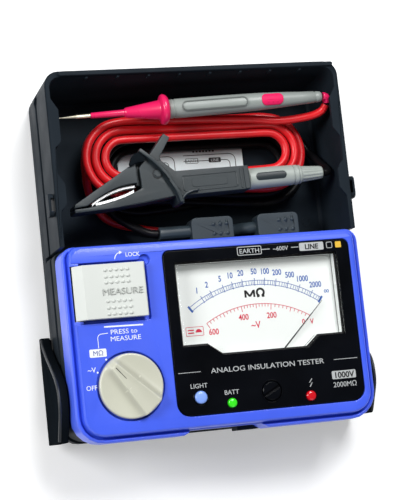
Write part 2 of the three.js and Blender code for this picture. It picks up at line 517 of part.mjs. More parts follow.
/** A wound lead lying flat: a long ring with round ends. */
function winding(x0, x1, y0, y1, band, z0, z1) {
  const ends = (inset) => roundedOutline(x0 + inset, x1 - inset, y0 + inset, y1 - inset,
    Array(4).fill((y1 - y0) / 2 - inset), 8);
  return cut(loft([[ends(0), z0], [ends(0), z1]]), loft([[ends(band), z0 - 1], [ends(band), z1 + 1]]));
}
const WOUND_BAND = 6.5 * CABLE_R; // three turns side by side, in two layers
const BLACK_COIL_Z = [FLOOR_Z + GAP + 1, FLOOR_Z + GAP + 1 + 4.2 * CABLE_R];
const RED_COIL_Z = [BLACK_COIL_Z[1] + GAP, BLACK_COIL_Z[1] + GAP + 4.2 * CABLE_R];
add("red_coil", winding(-54.5, 61, 28.5, 69, WOUND_BAND, ...RED_COIL_Z), LEAD_RED);
add("red_lead_probe_end", tube([[68.4, 67.9, 43.6], [66.3, 65, 41.4], [60, 63.2, 38.5], [46, 62.5, 35.2],
  [32, 64, 34.6], [10, 65, 34.6], [-8, 65, 34.6]], CABLE_R, 24), LEAD_RED);
add("red_lead_plug_end", tube([[-52.6, 50, 20.9], [-52.4, 44, 20.8], [-51.6, 38.5, 19.6],
  [-49.8, 32, 17.8], [-46, 25, 16.4], [-40, 19.6, 16.4], [-30, 16.4, 16.4], [-18, 13.8, 16.4],
  [0, 11.6, 16.4], [10, 11, 16.8], [17.2, 11, 18.6]], CABLE_R, 32), LEAD_RED);

/** Right-angle 4 mm plug in its socket: a flat body, a pin behind it and a boot to the left. */
function plug(x, boot) {
  const body = slab(x - 15, x + 6.3, 4.6, 16.8, SOCKETS.z - 5, SOCKETS.z + 5, 2.4);
  const grips = [-1, 1].flatMap((row) => [0, 1, 2].map((column) => post(x - 4 + column * 3.4,
    10.8 + row * 2.4, SOCKETS.z + 4.5, SOCKETS.z + 5.7, 1.1, 0.8, 8)));
  const collar = bar(x, SOCKETS.z, SEAM_Y + 0.3, 6, 4.1);
  return join(body, ...grips, collar, bar(x, SOCKETS.z, -10, 6, 1.95, 1.95, 14), boot);
}
add("line_plug", plug(SOCKETS.line, tube([[17.9, 11, 18.9], [22, 11, 20.6], [27, 11, 24], [32, 11, 26]],
  3.1, 6, 12)), GRIP_GREY);

// ---- Black test lead: clip, winding, plug --------------------------------------------------------
add("black_coil", winding(-49, 62, 21.5, 66, WOUND_BAND, ...BLACK_COIL_Z), LEAD_BLACK);
add("black_lead_plug_end", tube([[-43.9, 25.2, 21.4], [-39, 21, 21.9], [-33.6, 17, 23.4],
  [-28.6, 13.6, 25.6], [-24.5, 11.3, 26.8], [-20.2, 10.7, 27]], CABLE_R, 14), LEAD_BLACK);
add("earth_plug", plug(SOCKETS.earth, tube([[-19.6, 10.7, SOCKETS.z], [-12, 10.7, SOCKETS.z],
  [0, 10.7, SOCKETS.z]], 3.3, 3, 12)), GRIP_GREY);

const CLIP = { z: 39, half: 6, plate: 2.6, axisY: -5.8, bodyEnd: 46 };
const clip = new THREE.Group(); // origin on the pivot, X towards the cable
clip.position.set(-22, 37.4, 0);
clip.rotation.z = THREE.MathUtils.degToRad(2);
tester.add(clip);
const clipLow = CLIP.z - CLIP.half, clipHigh = CLIP.z + CLIP.half;
const SLOT_LOW = clipLow + CLIP.plate, SLOT_HIGH = clipHigh - CLIP.plate;

/** Curved finger guard: a thin fin across the body. */
function fingerGuard(z0, z1) {
  const curve = new THREE.QuadraticBezierCurve(new THREE.Vector2(-8, 12), new THREE.Vector2(6, 1),
    new THREE.Vector2(9.8, -15));
  const line = curve.getPoints(8);
  const side = (offset) => line.map((p, i) => {
    const t = curve.getTangent(i / 8);
    return [p.x - t.y * offset, p.y + t.x * offset];
  });
  return plate([...side(0.9), ...side(-0.9).reverse()], z0, z1);
}

/** Points on the curved edge of one jaw, from the tip towards the pivot. */
const jawEdge = (tip, middle, root) => new THREE.QuadraticBezierCurve(...[tip, middle, root]
  .map(([x, y]) => new THREE.Vector2(x, y))).getPoints(8).map((p) => [p.x, p.y]);
const UPPER_EDGE = jawEdge([-34.2, -11.2], [-22, -3.2], [-10.2, -3.6]);

function clipBody() {
  const lowerJaw = plate([[-42.4, -15.2], [-42.6, -13.4], [-36, -13.2],
    ...jawEdge([-34, -12.9], [-19, -11.6], [-8.4, -6]), [6, -6], [8.5, 0.6],
    [CLIP.bodyEnd, 0.2], [CLIP.bodyEnd, -11.4], [12, -11.6], [11.4, -15.4], [8.6, -15.4],
    [7.6, -11.6], [-8, -13.4], [-24, -14.6]], clipLow, clipHigh);
  const cheek = [[-8.4, -7], [-8.6, 3.6], [-4.8, 8.8], [3, 6], [9, 0.6], [8, -7]];
  return cut(join(lowerJaw, plate(cheek, clipLow, SLOT_LOW), plate(cheek, SLOT_HIGH, clipHigh),
    fingerGuard(clipHigh - 0.2, clipHigh + 3), fingerGuard(clipLow - 1, clipLow + 0.2)),
  post(0, 0, clipLow - 2, clipHigh + 4, 1.75, 1.75, 14));
}

function clipJaw() {
  const arm = plate([[-42.6, -12.9], [-42.2, -11.2], [-10.2, 6.6],
    ...UPPER_EDGE.toReversed(), [-36, -12.2]], clipLow, clipHigh);
  const hub = plate([[-10.6, -4.4], [-10.6, 6.5], [-5.8, 9], [-2.4, 9.6], [6.6, 20], [9.4, 17.8],
    [3, 8.6], [5, 2], [4, -4], [-4, -5.5]], SLOT_LOW + GAP, SLOT_HIGH - GAP);
  return cut(join(arm, hub), post(0, 0, clipLow, clipHigh, 1.75, 1.75, 14),
    post(0, 0, CLIP.z + 0.6, clipHigh, 4.3, 4.3, 16));
}

/** Metal lining that lies a gap off the curved edge of one jaw. */
function jawContact(tip, middle, root, direction) {
  const [near, far] = [GAP, GAP + 0.6].map((offset) =>
    jawEdge(tip, middle, root).map(([x, y]) => [x, y + direction * offset]));
  return plate([...near, ...far.reverse()], CLIP.z - 3.4, CLIP.z + 3.4);
}
add("clip_body", clipBody(), CLIP_GREY, clip);
add("clip_jaw", clipJaw(), CLIP_GREY, clip);
add("clip_contact_lower", jawContact([-31.5, -12.4], [-20, -11], [-12, -7.8], 1), STEEL, clip);
add("clip_contact_upper", jawContact([-31.5, -9.6], [-22, -4.1], [-12, -3.7], -1), STEEL, clip);
add("clip_pin", post(0, 0, clipLow - 0.4, clipHigh + 0.5, 1.45, 1.45, 14), STEEL, clip);
add("clip_spring", cut(post(0, 0, CLIP.z + 0.9, SLOT_HIGH - 0.1, 3.9, 3.9, 16),
  post(0, 0, CLIP.z, clipHigh, 2.1, 2.1, 14)), STEEL, clip);
add("clip_barrel", turned([[CLIP.bodyEnd + GAP, 0], [CLIP.bodyEnd + GAP, 5.3], [73, 4.9], [74, 3.9],
  [85.6, 3.1], [85.6, 0]]).translate(0, CLIP.axisY, CLIP.z), BARREL_GREY, clip);
add("black_lead_clip_end", tube([[64.3, 34.6, 39], [66.6, 34.8, 38.4], [68.3, 36.8, 34.4], [67.2, 42, 27],
  [65, 48, 20.5], [64.6, 52, 19]], CABLE_R, 12), LEAD_BLACK);

export default tester;
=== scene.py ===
"""Looks of an analog insulation resistance tester in its hard case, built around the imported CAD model.

Lengths in the shape-making code are millimetres in the row's frame; a piece is scaled to metres
when it is made. X runs to the right of the face, Y towards the lead tray and Z out of the face.
"""
import json
import math

import bmesh
import bpy
from mathutils import Matrix, Vector


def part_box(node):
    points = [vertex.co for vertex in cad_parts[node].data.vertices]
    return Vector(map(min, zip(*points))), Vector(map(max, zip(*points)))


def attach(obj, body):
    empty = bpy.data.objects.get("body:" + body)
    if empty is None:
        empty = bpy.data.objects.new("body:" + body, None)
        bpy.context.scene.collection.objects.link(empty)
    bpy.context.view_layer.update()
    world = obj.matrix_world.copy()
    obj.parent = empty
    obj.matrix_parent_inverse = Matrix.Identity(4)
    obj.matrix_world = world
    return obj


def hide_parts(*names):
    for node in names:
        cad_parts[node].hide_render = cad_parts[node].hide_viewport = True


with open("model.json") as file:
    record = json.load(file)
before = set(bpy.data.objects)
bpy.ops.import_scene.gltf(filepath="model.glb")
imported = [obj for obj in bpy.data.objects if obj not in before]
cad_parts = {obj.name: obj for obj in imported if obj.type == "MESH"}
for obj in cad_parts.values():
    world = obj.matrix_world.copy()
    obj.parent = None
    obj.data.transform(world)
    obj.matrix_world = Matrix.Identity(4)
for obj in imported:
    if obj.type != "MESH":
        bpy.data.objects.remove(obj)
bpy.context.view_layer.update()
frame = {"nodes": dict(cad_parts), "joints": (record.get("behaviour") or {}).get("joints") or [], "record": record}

MM = 0.001
TAU = 2 * math.pi
INK = 0.06  # thickness of printed ink, enough to be a solid
CAP_SHARE = 0.73  # cap height of the lettering as a share of its font size


class Extent:
    """The box of a CAD node, in millimetres."""

    def __init__(self, node):
        low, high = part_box(node)
        self.x0, self.y0, self.z0 = (v / MM for v in low)
        self.x1, self.y1, self.z1 = (v / MM for v in high)
        self.x = (self.x0 + self.x1) / 2
        self.y = (self.y0 + self.y1) / 2
        self.z = (self.z0 + self.z1) / 2


def pivot(name):
    """The place of a joint, in millimetres."""
    return Vector(next(j["pos_m"] for j in frame["joints"] if j["name"] == name)) / MM


# ---- Camera ----
def show(name, data):
    """Puts an object with this data into the scene."""
    made = bpy.data.objects.new(name, data)
    bpy.context.scene.collection.objects.link(made)
    return made


def make_camera():
    """Looks down on the face from the upper left, from about 0.85 m away."""
    data = bpy.data.cameras.new("camera")
    data.sensor_width = 36
    data.lens = 122.4
    camera = show("camera", data)
    right = Vector((0.95787, -0.10498, 0.26734))
    up = Vector((0.06706, 0.98682, 0.14726))
    back = Vector((-0.27927, -0.12313, 0.95228))
    camera.matrix_world = Matrix.Translation((-0.2329, -0.1014, 0.8225)) @ Matrix(
        (right, up, back)).transposed().to_4x4()
    bpy.context.scene.camera = camera


make_camera()


# ---- Materials ----
MATERIALS = {}


class Nodes:
    """A short way to build a material. A value for an input may be the socket that feeds it."""

    def __init__(self, name):
        self.material = MATERIALS[name] = bpy.data.materials.new(name)
        self.material.use_nodes = True
        self.tree = self.material.node_tree
        self.shader = self.tree.nodes["Principled BSDF"]
        self.place = self.tree.nodes.new("ShaderNodeTexCoord").outputs["Object"]

    def feed(self, socket, value):
        if isinstance(value, bpy.types.NodeSocket):
            self.tree.links.new(value, socket)
        else:
            socket.default_value = value

    def put(self, **inputs):
        """Sets inputs of the main shader."""
        for key, value in inputs.items():
            self.feed(self.shader.inputs[key.replace("_", " ")], value)

    def add(self, kind, **settings):
        """Adds a node with its settings and inputs."""
        node = self.tree.nodes.new("ShaderNode" + kind)
        for key, value in settings.items():
            if hasattr(node, key):
                setattr(node, key, value)
            else:
                self.feed(node.inputs[key.replace("_", " ")], value)
        return node

    def noise(self, scale, detail=3.0, stretch=None):
        place = self.place
        if stretch:
            place = self.add("Mapping", Scale=stretch, Vector=place).outputs["Vector"]
        return self.add("TexNoise", Scale=scale, Detail=detail, Vector=place).outputs["Fac"]

    def ramp(self, fac, low, high, a, b):
        """Maps fac from low..high to the colours (or greys) a..b."""
        node = self.add("ValToRGB", Fac=fac)
        for end, at, value in zip(node.color_ramp.elements, (low, high), (a, b)):
            end.position = at
            end.color = (*value, 1) if isinstance(value, tuple) else (value, value, value, 1)
        return node.outputs["Color"]

    def mix(self, fac, a, b):
        """The colour a where fac is 0 and b where it is 1."""
        node = self.add("Mix", data_type="RGBA")
        for socket, value in zip((node.inputs[0], node.inputs[6], node.inputs[7]), (fac, a, b)):
            self.feed(socket, (*value, 1) if isinstance(value, tuple) else value)
        return node.outputs[2]

    def bump(self, height, depth_mm):
        return self.add("Bump", Strength=1.0, Distance=depth_mm * MM, Height=height).outputs["Normal"]


def shade(color, factor):
    return tuple(min(1.0, c * factor) for c in color)


def plastic(name, color, roughness, grain=0.012, grain_size=0.5, drift=0.06, edge_wear_and_highlight=0.0,
            coat=0.0, specular=0.5):
    """Moulded plastic: slow colour drift, fine mould grain and handling marks; convex edges paled, partly as
    rubbed wear and partly as painted highlight, and concave edges darkened as painted shade.
    """
    n = Nodes(name)
    drifted = n.ramp(n.noise(45, 4), 0.35, 0.65, shade(color, 1 - drift), shade(color, 1 + drift))
    if edge_wear_and_highlight:
        edge = n.add("NewGeometry").outputs["Pointiness"]
        # Painted shade: concave edges and creases are darkened.
        crevice_shade = n.ramp(edge, 0.42, 0.495, 0.55, 0.0)
        drifted = n.mix(crevice_shade, drifted, shade(color, 0.3))
        # Convex edges are paled, partly as rubbed wear and partly as painted highlight.
        worn_and_highlit = n.ramp(edge, 0.51, 0.58, 0.0, edge_wear_and_highlight)
        pale = tuple(min(1.0, c * 1.25 + 0.1) for c in color)
        drifted = n.mix(worn_and_highlit, drifted, pale)
    smudge = n.ramp(n.noise(70, 5), 0.3, 0.7, max(0.02, roughness - 0.06), roughness + 0.07)
    n.put(Base_Color=drifted, Roughness=smudge, Normal=n.bump(n.noise(1 / (grain_size * MM), 2), grain),
          Coat_Weight=coat, Coat_Roughness=0.12, Specular_IOR_Level=specular)


def metal(name, color, roughness, brush=(1, 1, 1)):
    """Plated or bare metal with fine tool marks and a little tarnish."""
    n = Nodes(name)
    tarnish = n.ramp(n.noise(120, 4), 0.35, 0.7, shade(color, 0.82), shade(color, 1.05))
    mark_size = 0.3
    marks = n.noise(1 / (mark_size * MM), 3, stretch=brush)
    n.put(Base_Color=tarnish, Metallic=1.0, Normal=n.bump(marks, 0.006),
          Roughness=n.ramp(marks, 0.3, 0.7, max(0.05, roughness - 0.1), roughness + 0.1))


def silicone(name, color, sheen, specular=0.5):
    """Soft lead insulation: dull, with a faint dusty sheen and slight ripples."""
    n = Nodes(name)
    n.put(Base_Color=n.ramp(n.noise(90, 3), 0.3, 0.7, shade(color, 0.88), shade(color, 1.1)),
          Roughness=n.ramp(n.noise(300, 3), 0.3, 0.7, 0.3, 0.46),
          Normal=n.bump(n.noise(700, 2), 0.03), Sheen_Weight=sheen, Sheen_Roughness=0.4,
          Specular_IOR_Level=specular)


def lens(name, color, glow):
    """Tinted indicator lens with a moulded ribbing inside and a small glow."""
    n = Nodes(name)
    ribs = n.add("TexWave", Scale=900.0, Distortion=0.4, Vector=n.place).outputs["Fac"]
    tint = n.ramp(ribs, 0.2, 0.8, shade(color, 0.8), shade(color, 1.1))
    n.put(Base_Color=tint, Emission_Color=tint, Emission_Strength=glow, Coat_Weight=0.6,
          Roughness=n.ramp(n.noise(400), 0.3, 0.7, 0.1, 0.2))


def window_glass():
    """Clear moulded cover: see-through face on, mirror-like at a slant, with hairline scuffs."""
    n = Nodes("window_clear")
    scuffs = n.ramp(n.noise(500, 6, stretch=(1, 8, 1)), 0.45, 0.75, 0.03, 0.16)
    clear = n.add("BsdfTransparent", Color=(1, 1, 1, 1))
    gloss = n.add("BsdfGlossy", Color=(1, 1, 1, 1), Roughness=scuffs)
    slant = n.add("LayerWeight", Blend=0.5).outputs["Facing"]
    blend = n.add("MixShader", Fac=n.ramp(slant, 0.55, 1.0, 0.004, 0.3))
    n.feed(blend.inputs[1], clear.outputs["BSDF"])
    n.feed(blend.inputs[2], gloss.outputs["BSDF"])
    n.feed(n.tree.nodes["Material Output"].inputs["Surface"], blend.outputs["Shader"])


def ink(name, color, roughness=0.55, speckle=0.12):
    """Screen-printed ink with slightly uneven cover."""
    n = Nodes(name)
    n.put(Base_Color=n.ramp(n.noise(1500, 4), 0.3, 0.6, shade(color, 1 - speckle), color),
          Roughness=roughness, Normal=n.bump(n.noise(3000, 2), 0.003))


def circuit_laminate():
    """Green solder mask with copper tracks running under it."""
    n = Nodes("board_green")
    tracks = n.add("TexBrick", Scale=1.0, Mortar_Size=0.0011, Brick_Width=0.011,
                   Row_Height=0.0032, offset=0.37, Vector=n.place).outputs["Fac"]
    n.put(Base_Color=n.mix(tracks, (0.012, 0.13, 0.05), (0.05, 0.26, 0.1)),
          Normal=n.bump(tracks, 0.04), Roughness=0.35)


def winding_wire():
    """Fine enamelled copper wire laid in turns, with painted shade between the turns and painted highlight on
    them.
    """
    n = Nodes("copper_wire")
    wire = n.add("TexWave", Scale=2600.0, Distortion=0.3, bands_direction="Z",
                 Vector=n.place).outputs["Fac"]
    # Dark between the turns and bright on their crowns: painted shade and painted highlight of the round wires.
    n.put(Base_Color=n.ramp(wire, 0.1, 0.9, (0.28, 0.08, 0.03), (0.85, 0.4, 0.18)),
          Normal=n.bump(wire, 0.05), Metallic=0.9, Roughness=0.3)


# Finishes of the CAD model's material slots.
# The shell's strong edge setting pales its rims and ridges, partly as wear and mostly as painted highlight.
plastic("shell_blue", (0.043, 0.103, 0.78), 0.36, 0.006, 0.35, 0.05, 0.62, coat=0.15, specular=0.3)
plastic("panel_black", (0.002, 0.0025, 0.004), 0.14, 0.002, 0.6, 0.3, specular=0.09)
window_glass()
lens("lens_green", (0.03, 0.65, 0.01), 0.35)
lens("lens_red", (0.55, 0.001, 0.008), 0.2)
plastic("button_blue", (0.22, 0.38, 0.92), 0.3, 0.004, 0.4, 0.04, coat=0.2)
plastic("key_white", (0.6, 0.63, 0.6), 0.42, 0.01, 0.35, 0.02, 0.15)
# The knob's strong edge setting pales its ridge and rim, partly as wear and partly as painted highlight.
plastic("knob_cream", (0.53, 0.535, 0.44), 0.33, 0.006, 0.4, 0.03, 0.5, coat=0.2)
ink("dial_white", (0.8, 0.83, 0.81), 0.6, 0.02)
metal("steel", (0.62, 0.63, 0.64), 0.3, (1, 1, 6))
winding_wire()
ink("pointer_black", (0.015, 0.015, 0.018), 0.5, 0.3)
circuit_laminate()
plastic("switch_black", (0.016, 0.017, 0.02), 0.45, 0.02, 0.4, 0.2, 0.1)
plastic("socket_red", (0.5, 0.015, 0.015), 0.4, 0.01, 0.4)
plastic("cell_wrap", (0.05, 0.09, 0.16), 0.25, 0.004, 0.8, 0.08, coat=0.5)
plastic("case_black", (0.0135, 0.019, 0.0255), 0.4, 0.02, 0.45, 0.12, 0.03, specular=0.02)
ink("label_grey", (0.7, 0.79, 0.8), 0.5, 0.05)
metal("brass", (0.98, 0.93, 0.74), 0.5, (8, 1, 1))
plastic("probe_red", (0.8, 0.012, 0.115), 0.3, 0.006, 0.4, 0.05, 0.05, coat=0.2)
plastic("grip_grey", (0.27, 0.3, 0.285), 0.4, 0.014, 0.4, 0.06, 0.15)
silicone("lead_red", (0.72, 0.008, 0.014), 0.06)
silicone("lead_black", (0.005, 0.005, 0.006), 0.0, 0.15)
plastic("clip_grey", (0.02, 0.029, 0.034), 0.36, 0.014, 0.4, 0.1, 0.15, specular=0.32)
plastic("barrel_grey", (0.36, 0.4, 0.375), 0.42, 0.012, 0.4, 0.05, 0.15)
# Inks and other looks within a slot.
ink("ink_white", (0.82, 0.86, 0.92))
ink("ink_silver", (0.45, 0.47, 0.48), 0.35)
ink("ink_navy", (0.03, 0.06, 0.3))
ink("ink_black", (0.004, 0.004, 0.005), 0.7)
ink("ink_scale_blue", (0.008, 0.09, 0.4))
ink("ink_scale_red", (0.62, 0.001, 0.045))
ink("ink_amber", (0.75, 0.45, 0.02))
metal("lining", (0.9, 0.91, 0.92), 0.5)
plastic("plug_grey", (0.027, 0.041, 0.051), 0.42, 0.014, 0.4, 0.06, 0.15, specular=0.3)
# A darker copy of case_black, painted shade for the lid's ears and the clip guard's web.
plastic("case_black_shaded", (0.005, 0.0072, 0.0095), 0.38, 0.02, 0.45, 0.12, 0.03, specular=0.0)
plastic("pad_red", (0.8, 0.012, 0.115), 0.6, 0.012, 0.4, 0.05, specular=0.2)
plastic("ear_edge", (0.01, 0.014, 0.018), 0.42, 0.012, 0.45, 0.1)
# A darker copy of grip_grey, painted shade that outlines the probe's raised plaque.
plastic("grip_grey_shaded", (0.13, 0.145, 0.14), 0.5, 0.014, 0.4)
# Grey for the key's raised letters, painted shade of their relief on the white key.
plastic("key_shade", (0.4, 0.42, 0.4), 0.5, 0.01, 0.35, 0.03)
plastic("bezel_pale", (0.8, 0.83, 0.82), 0.3, 0.004, 0.4, 0.03)


# ---- Shape making ----
def rounded(x0, x1, y0, y1, radius, steps=8):
    """Outline of a rectangle with round corners, anticlockwise."""
    corners = ((x0, y0, 1, 1), (x1, y0, -1, 1), (x1, y1, -1, -1), (x0, y1, 1, -1))
    points = []
    for i, (x, y, sx, sy) in enumerate(corners):
        for k in range(steps + 1):
            a = math.pi * (1 + i / 2 + k / steps / 2)
            points.append((x + sx * radius + radius * math.cos(a),
                           y + sy * radius + radius * math.sin(a)))
    return points


def circle(x, y, radius, steps=32):
    return [(x + radius * math.cos(TAU * k / steps), y + radius * math.sin(TAU * k / steps))
            for k in range(steps)]


def wheel(x, radius, steps):
    """A circle across the X axis."""
    return [(x, *p) for p in circle(0, 0, radius, steps)]


def at_height(outline, z):
    return [(*p, z) for p in outline]


def placed(x, y, z, turn=0, tilt=0):
    """A frame moved to a point, turned about Z and then tilted about its own Y, in degrees."""
    return (Matrix.Translation((x, y, z)) @ Matrix.Rotation(math.radians(turn), 4, "Z")
            @ Matrix.Rotation(math.radians(tilt), 4, "Y"))


def polar(centre, radius, angle):
    """A point at an angle in degrees clockwise from straight up."""
    a = math.radians(angle)
    return centre[0] + radius * math.sin(a), centre[1] + radius * math.cos(a)


def arc(x, y, radius, start, end, steps):
    """Points on an arc, by angles in degrees clockwise from straight up."""
    return [polar((x, y), radius, start + (end - start) * k / steps) for k in range(steps + 1)]


class Shape:
    """Gathers closed bodies, in millimetres, for one piece.

    What is drawn flat lies between its two levels. Places are taken from (x, y), then turned.
    """

    def __init__(self, turn=None, levels=(None, None), x=0.0, y=0.0):
        self.bm = bmesh.new()
        self.turn = turn or Matrix.Identity(4)
        self.low, self.high = levels
        self.x, self.y = x, y

    def loft(self, rings, cap=True):
        rows = [[self.bm.verts.new(self.turn @ Vector((p[0] + self.x, p[1] + self.y, p[2])))
                 for p in ring] for ring in rings]
        count = len(rows[0])
        for low, high in zip(rows, rows[1:]):
            for i in range(count):
                j = (i + 1) % count
                self.bm.faces.new((low[i], low[j], high[j], high[i]))
        if cap:
            self.bm.faces.new(rows[0][::-1])
            self.bm.faces.new(rows[-1])
        return self

    def prism(self, outline, z0=None, z1=None, soften=0.0):
        """Upright plate; soften rounds its upper edge by that much."""
        z0, z1 = (self.low, self.high) if z0 is None else (z0, z1)
        sections = [(0.0, z0), (0.0, z1 - soften)]
        if soften:
            sections += [(0.3 * soften, z1 - 0.3 * soften), (soften, z1)]
        return self.loft([at_height(inset(outline, by), z) for by, z in sections])

    def revolve(self, profile, steps=48, cap=True):
        """Turned body about local X from (x, radius) steps."""
        return self.loft([wheel(x, r, steps) for x, r in profile], cap)

    def stroke(self, points, width, closed=False):
        """Printed or moulded line along points."""
        points = [*points, points[0]] if closed else points
        left, right = [], []
        for i, p in enumerate(points):
            a, b = points[max(i - 1, 0)], points[min(i + 1, len(points) - 1)]
            d = Vector((b[0] - a[0], b[1] - a[1])).normalized() * (width / 2)
            left.append((p[0] - d.y, p[1] + d.x))
            right.append((p[0] + d.y, p[1] - d.x))
        for i in range(len(points) - 1):
            quad = (right[i], right[i + 1], left[i + 1], left[i])
            self.loft([at_height(quad, z) for z in (self.low, self.high)])
        return self

    def text(self, words, x, y, size, weight=0.0, stretch=1.0):
        """Lettering of the given cap height, centred on (x, y)."""
        curve = bpy.data.curves.new("lettering", "FONT")
        curve.body = words
        curve.size = size / CAP_SHARE
        curve.align_x = "CENTER"
        curve.extrude = (self.high - self.low) / 2
        curve.offset = weight
        curve.resolution_u = 3
        holder = bpy.data.objects.new("lettering", curve)
        mesh = bpy.data.meshes.new_from_object(holder)
        place = (x + self.x, y + self.y - size / 2, (self.low + self.high) / 2)
        mesh.transform(self.turn @ Matrix.Translation(place)
                       @ Matrix.Diagonal((stretch, 1, 1, 1)))
        self.bm.from_mesh(mesh)
        bpy.data.meshes.remove(mesh)
        bpy.data.objects.remove(holder)
        bpy.data.curves.remove(curve)
        return self

    def tube(self, points, radius, sides=10):
        """Round bar along points."""
        line = [Vector(p) for p in points]
        rings, side = [], Vector((0.31, 0.17, 0.93))
        for i, p in enumerate(line):
            along = (line[min(i + 1, len(line) - 1)] - line[max(i - 1, 0)]).normalized()
            side = (side - along * side.dot(along)).normalized()
            across = along.cross(side)
            rings.append([p + (side * u + across * v) * radius
                          for u, v in circle(0, 0, 1, sides)])
        return self.loft(rings)

    def patch(self, outline, surface, lift, sink=0.4):
        """Low pad that follows a curved surface: surface(x, y) gives its height."""
        rings = [[(x, y, surface(x, y) - sink) for x, y in outline]]
        steps = ((0.0, 0.7), (0.12, 0.93), (0.3, 1.0), (0.9, 1.0), (1.7, 1.0), (2.5, 1.0))
        reach = (max(y for x, y in outline) - min(y for x, y in outline)) / 2 - 0.2
        for by, share in steps:
            if by < reach:
                rings.append([(x, y, surface(x, y) + lift * share)
                              for x, y in inset(outline, by)])
        return self.loft(rings)

    def mesh(self, name):
        bmesh.ops.remove_doubles(self.bm, verts=self.bm.verts, dist=1e-4)
        bmesh.ops.recalc_face_normals(self.bm, faces=self.bm.faces)
        self.bm.transform(Matrix.Scale(MM, 4))
        mesh = bpy.data.meshes.new(name)
        self.bm.to_mesh(mesh)
        self.bm.free()
        return mesh


def inset(outline, by):
    """The outline moved inwards by a distance, for outlines drawn anticlockwise."""
    if not by:
        return list(outline)
    count, moved = len(outline), []
    for i, p in enumerate(outline):
        before = Vector(p) - Vector(outline[i - 1])
        after = Vector(outline[(i + 1) % count]) - Vector(p)
        if before.length < 1e-9 or after.length < 1e-9:
            before = after = before if before.length > after.length else after
        n1 = Vector((-before.y, before.x)).normalized()
        n2 = Vector((-after.y, after.x)).normalized()
        normal = (n1 + n2).normalized()
        moved.append(tuple(Vector(p) + normal * (by / max(0.4, normal.dot(n1)))))
    return moved


def printed(top, x=0.0, y=0.0, over=False):
    """A shape for ink on a surface at the height top, or over ink that is already there."""
    high = top + INK
    return Shape(None, (high - 0.01, high + 0.03) if over else (top - 0.02, high), x, y)


def piece(name, shape, slot, material=None, body="case", stands_for=(), smooth=35, bevel=0.0):
    """Makes one visible piece that rides on a body and takes a material slot's finish."""
    mesh = shape.mesh(name)
    mesh.shade_smooth()
    mesh.set_sharp_from_angle(angle=math.radians(smooth))
    made = show(name, mesh)
    mesh.materials.append(MATERIALS[material or slot])
    if bevel:
        round_edges(made, bevel)
    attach(made, body)
    if stands_for:
        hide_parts(*stands_for)


def round_edges(target, width):
    """Rounds the sharp edges of a hard piece without moving its faces."""
    bevel = target.modifiers.new("edges", "BEVEL")
    bevel.width = width * MM
    bevel.segments = 2
    bevel.limit_method = "ANGLE"
    bevel.angle_limit = math.radians(30)
    bevel.use_clamp_overlap = False
    bevel.miter_outer = "MITER_ARC"
    weighted = target.modifiers.new("shading", "WEIGHTED_NORMAL")
    weighted.weight = 100
    weighted.keep_sharp = False


def finish_node(name, edge, material=None):
    """Keeps a CAD node's shape, gives it its material and rounds its edges."""
    node = frame["nodes"][name]
    node.data.materials.clear()
    node.data.materials.append(MATERIALS[material or SLOT_OF[name]])
    for polygon in node.data.polygons:
        polygon.use_smooth = True
        polygon.material_index = 0
    node.modifiers.new("weld", "WELD").merge_threshold = 1e-5
    round_edges(node, edge)


SLOT_OF = {row["node"]: row["material_slot"] for row in frame["record"]["subparts"]}


# ---- Test leads ----
LEAD_D = 4.0
TURN_STEP = LEAD_D + 0.6


def catmull(points):
    """A smooth line through given points."""
    steps = 6
    p = [Vector(q) for q in points]
    p = [2 * p[0] - p[1], *p, 2 * p[-1] - p[-2]]
    line = []
    for a, b, c, d in zip(p, p[1:], p[2:], p[3:]):
        for k in range(steps):
            t = k / steps
            line.append(0.5 * (2 * b + (c - a) * t + (2 * a - 5 * b + 4 * c - d) * t * t
                               + (3 * b - a - 3 * c + d) * t ** 3))
    return [*line, p[-2]]


def turns(winding, plan, start, end):
    """Points along turns wound anticlockwise round two posts.

    plan holds (radius, height) per turn. A turn has 24 points: the right bend, the far straight,
    the left bend and the near straight, over which it shifts to the next turn's place. start and
    end count the points at which the first turn begins and the last one stops.
    """
    half = (winding.y1 - winding.y0) / 2
    posts = (winding.x1 - half, winding.x0 + half)
    bend, straight = 7, 5
    slots = []
    for side in (0, 1):
        for k in range(bend):
            slots.append((posts[side], math.pi * (side - 0.5 + k / (bend - 1))))
        for k in range(1, straight + 1):
            share = k / (straight + 1)
            slots.append((posts[side] * (1 - share) + posts[1 - side] * share,
                          math.pi * (side + 0.5)))
    points = []
    for i, (radius, height) in enumerate(plan):
        following = plan[min(i + 1, len(plan) - 1)]
        first = start if i == 0 else 0
        last = end if i == len(plan) - 1 else len(slots)
        for k in range(first, last):
            x, a = slots[k]
            share = max(0.0, (k - len(slots) + straight + 1) / (straight + 1))
            share = share * share * (3 - 2 * share)
            sway = 0.45 * math.sin(1.7 * i + 0.5 * k)
            r = radius + (following[0] - radius) * share + 0.3 * sway
            z = height + (following[1] - height) * share + 0.2 * sway
            points.append((x + r * math.cos(a), winding.y + r * math.sin(a), z))
    return points


def lead(name, points, slot, stands_for):
    """One test lead: a single open curve with a round section."""
    curve = bpy.data.curves.new(name, "CURVE")
    curve.dimensions = "3D"
    curve.bevel_depth = LEAD_D / 2 * MM
    curve.bevel_resolution = 5
    curve.use_fill_caps = True
    line = catmull(points)
    spline = curve.splines.new("POLY")
    spline.points.add(len(line) - 1)
    for point, p in zip(spline.points, line):
        point.co = (*(p * MM), 1)
    spline.use_smooth = True
    made = show(name, curve)
    curve.materials.append(MATERIALS[slot])
    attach(made, "case")
    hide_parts(*stands_for)
    return made


def two_layers(coil, downwards):
    """Radius and height per turn: three inwards in one layer, then two outwards in the other."""
    radius = (coil.y1 - coil.y0) / 2 - LEAD_D / 2
    upper, lower = coil.z1 - LEAD_D / 2 - 0.1, coil.z0 + LEAD_D / 2 + 0.1
    first, then = (upper, lower) if downwards else (lower, upper)
    return [(radius, first), (radius - TURN_STEP, first), (radius - 2 * TURN_STEP, first),
            (radius - TURN_STEP, then), (radius, then)]


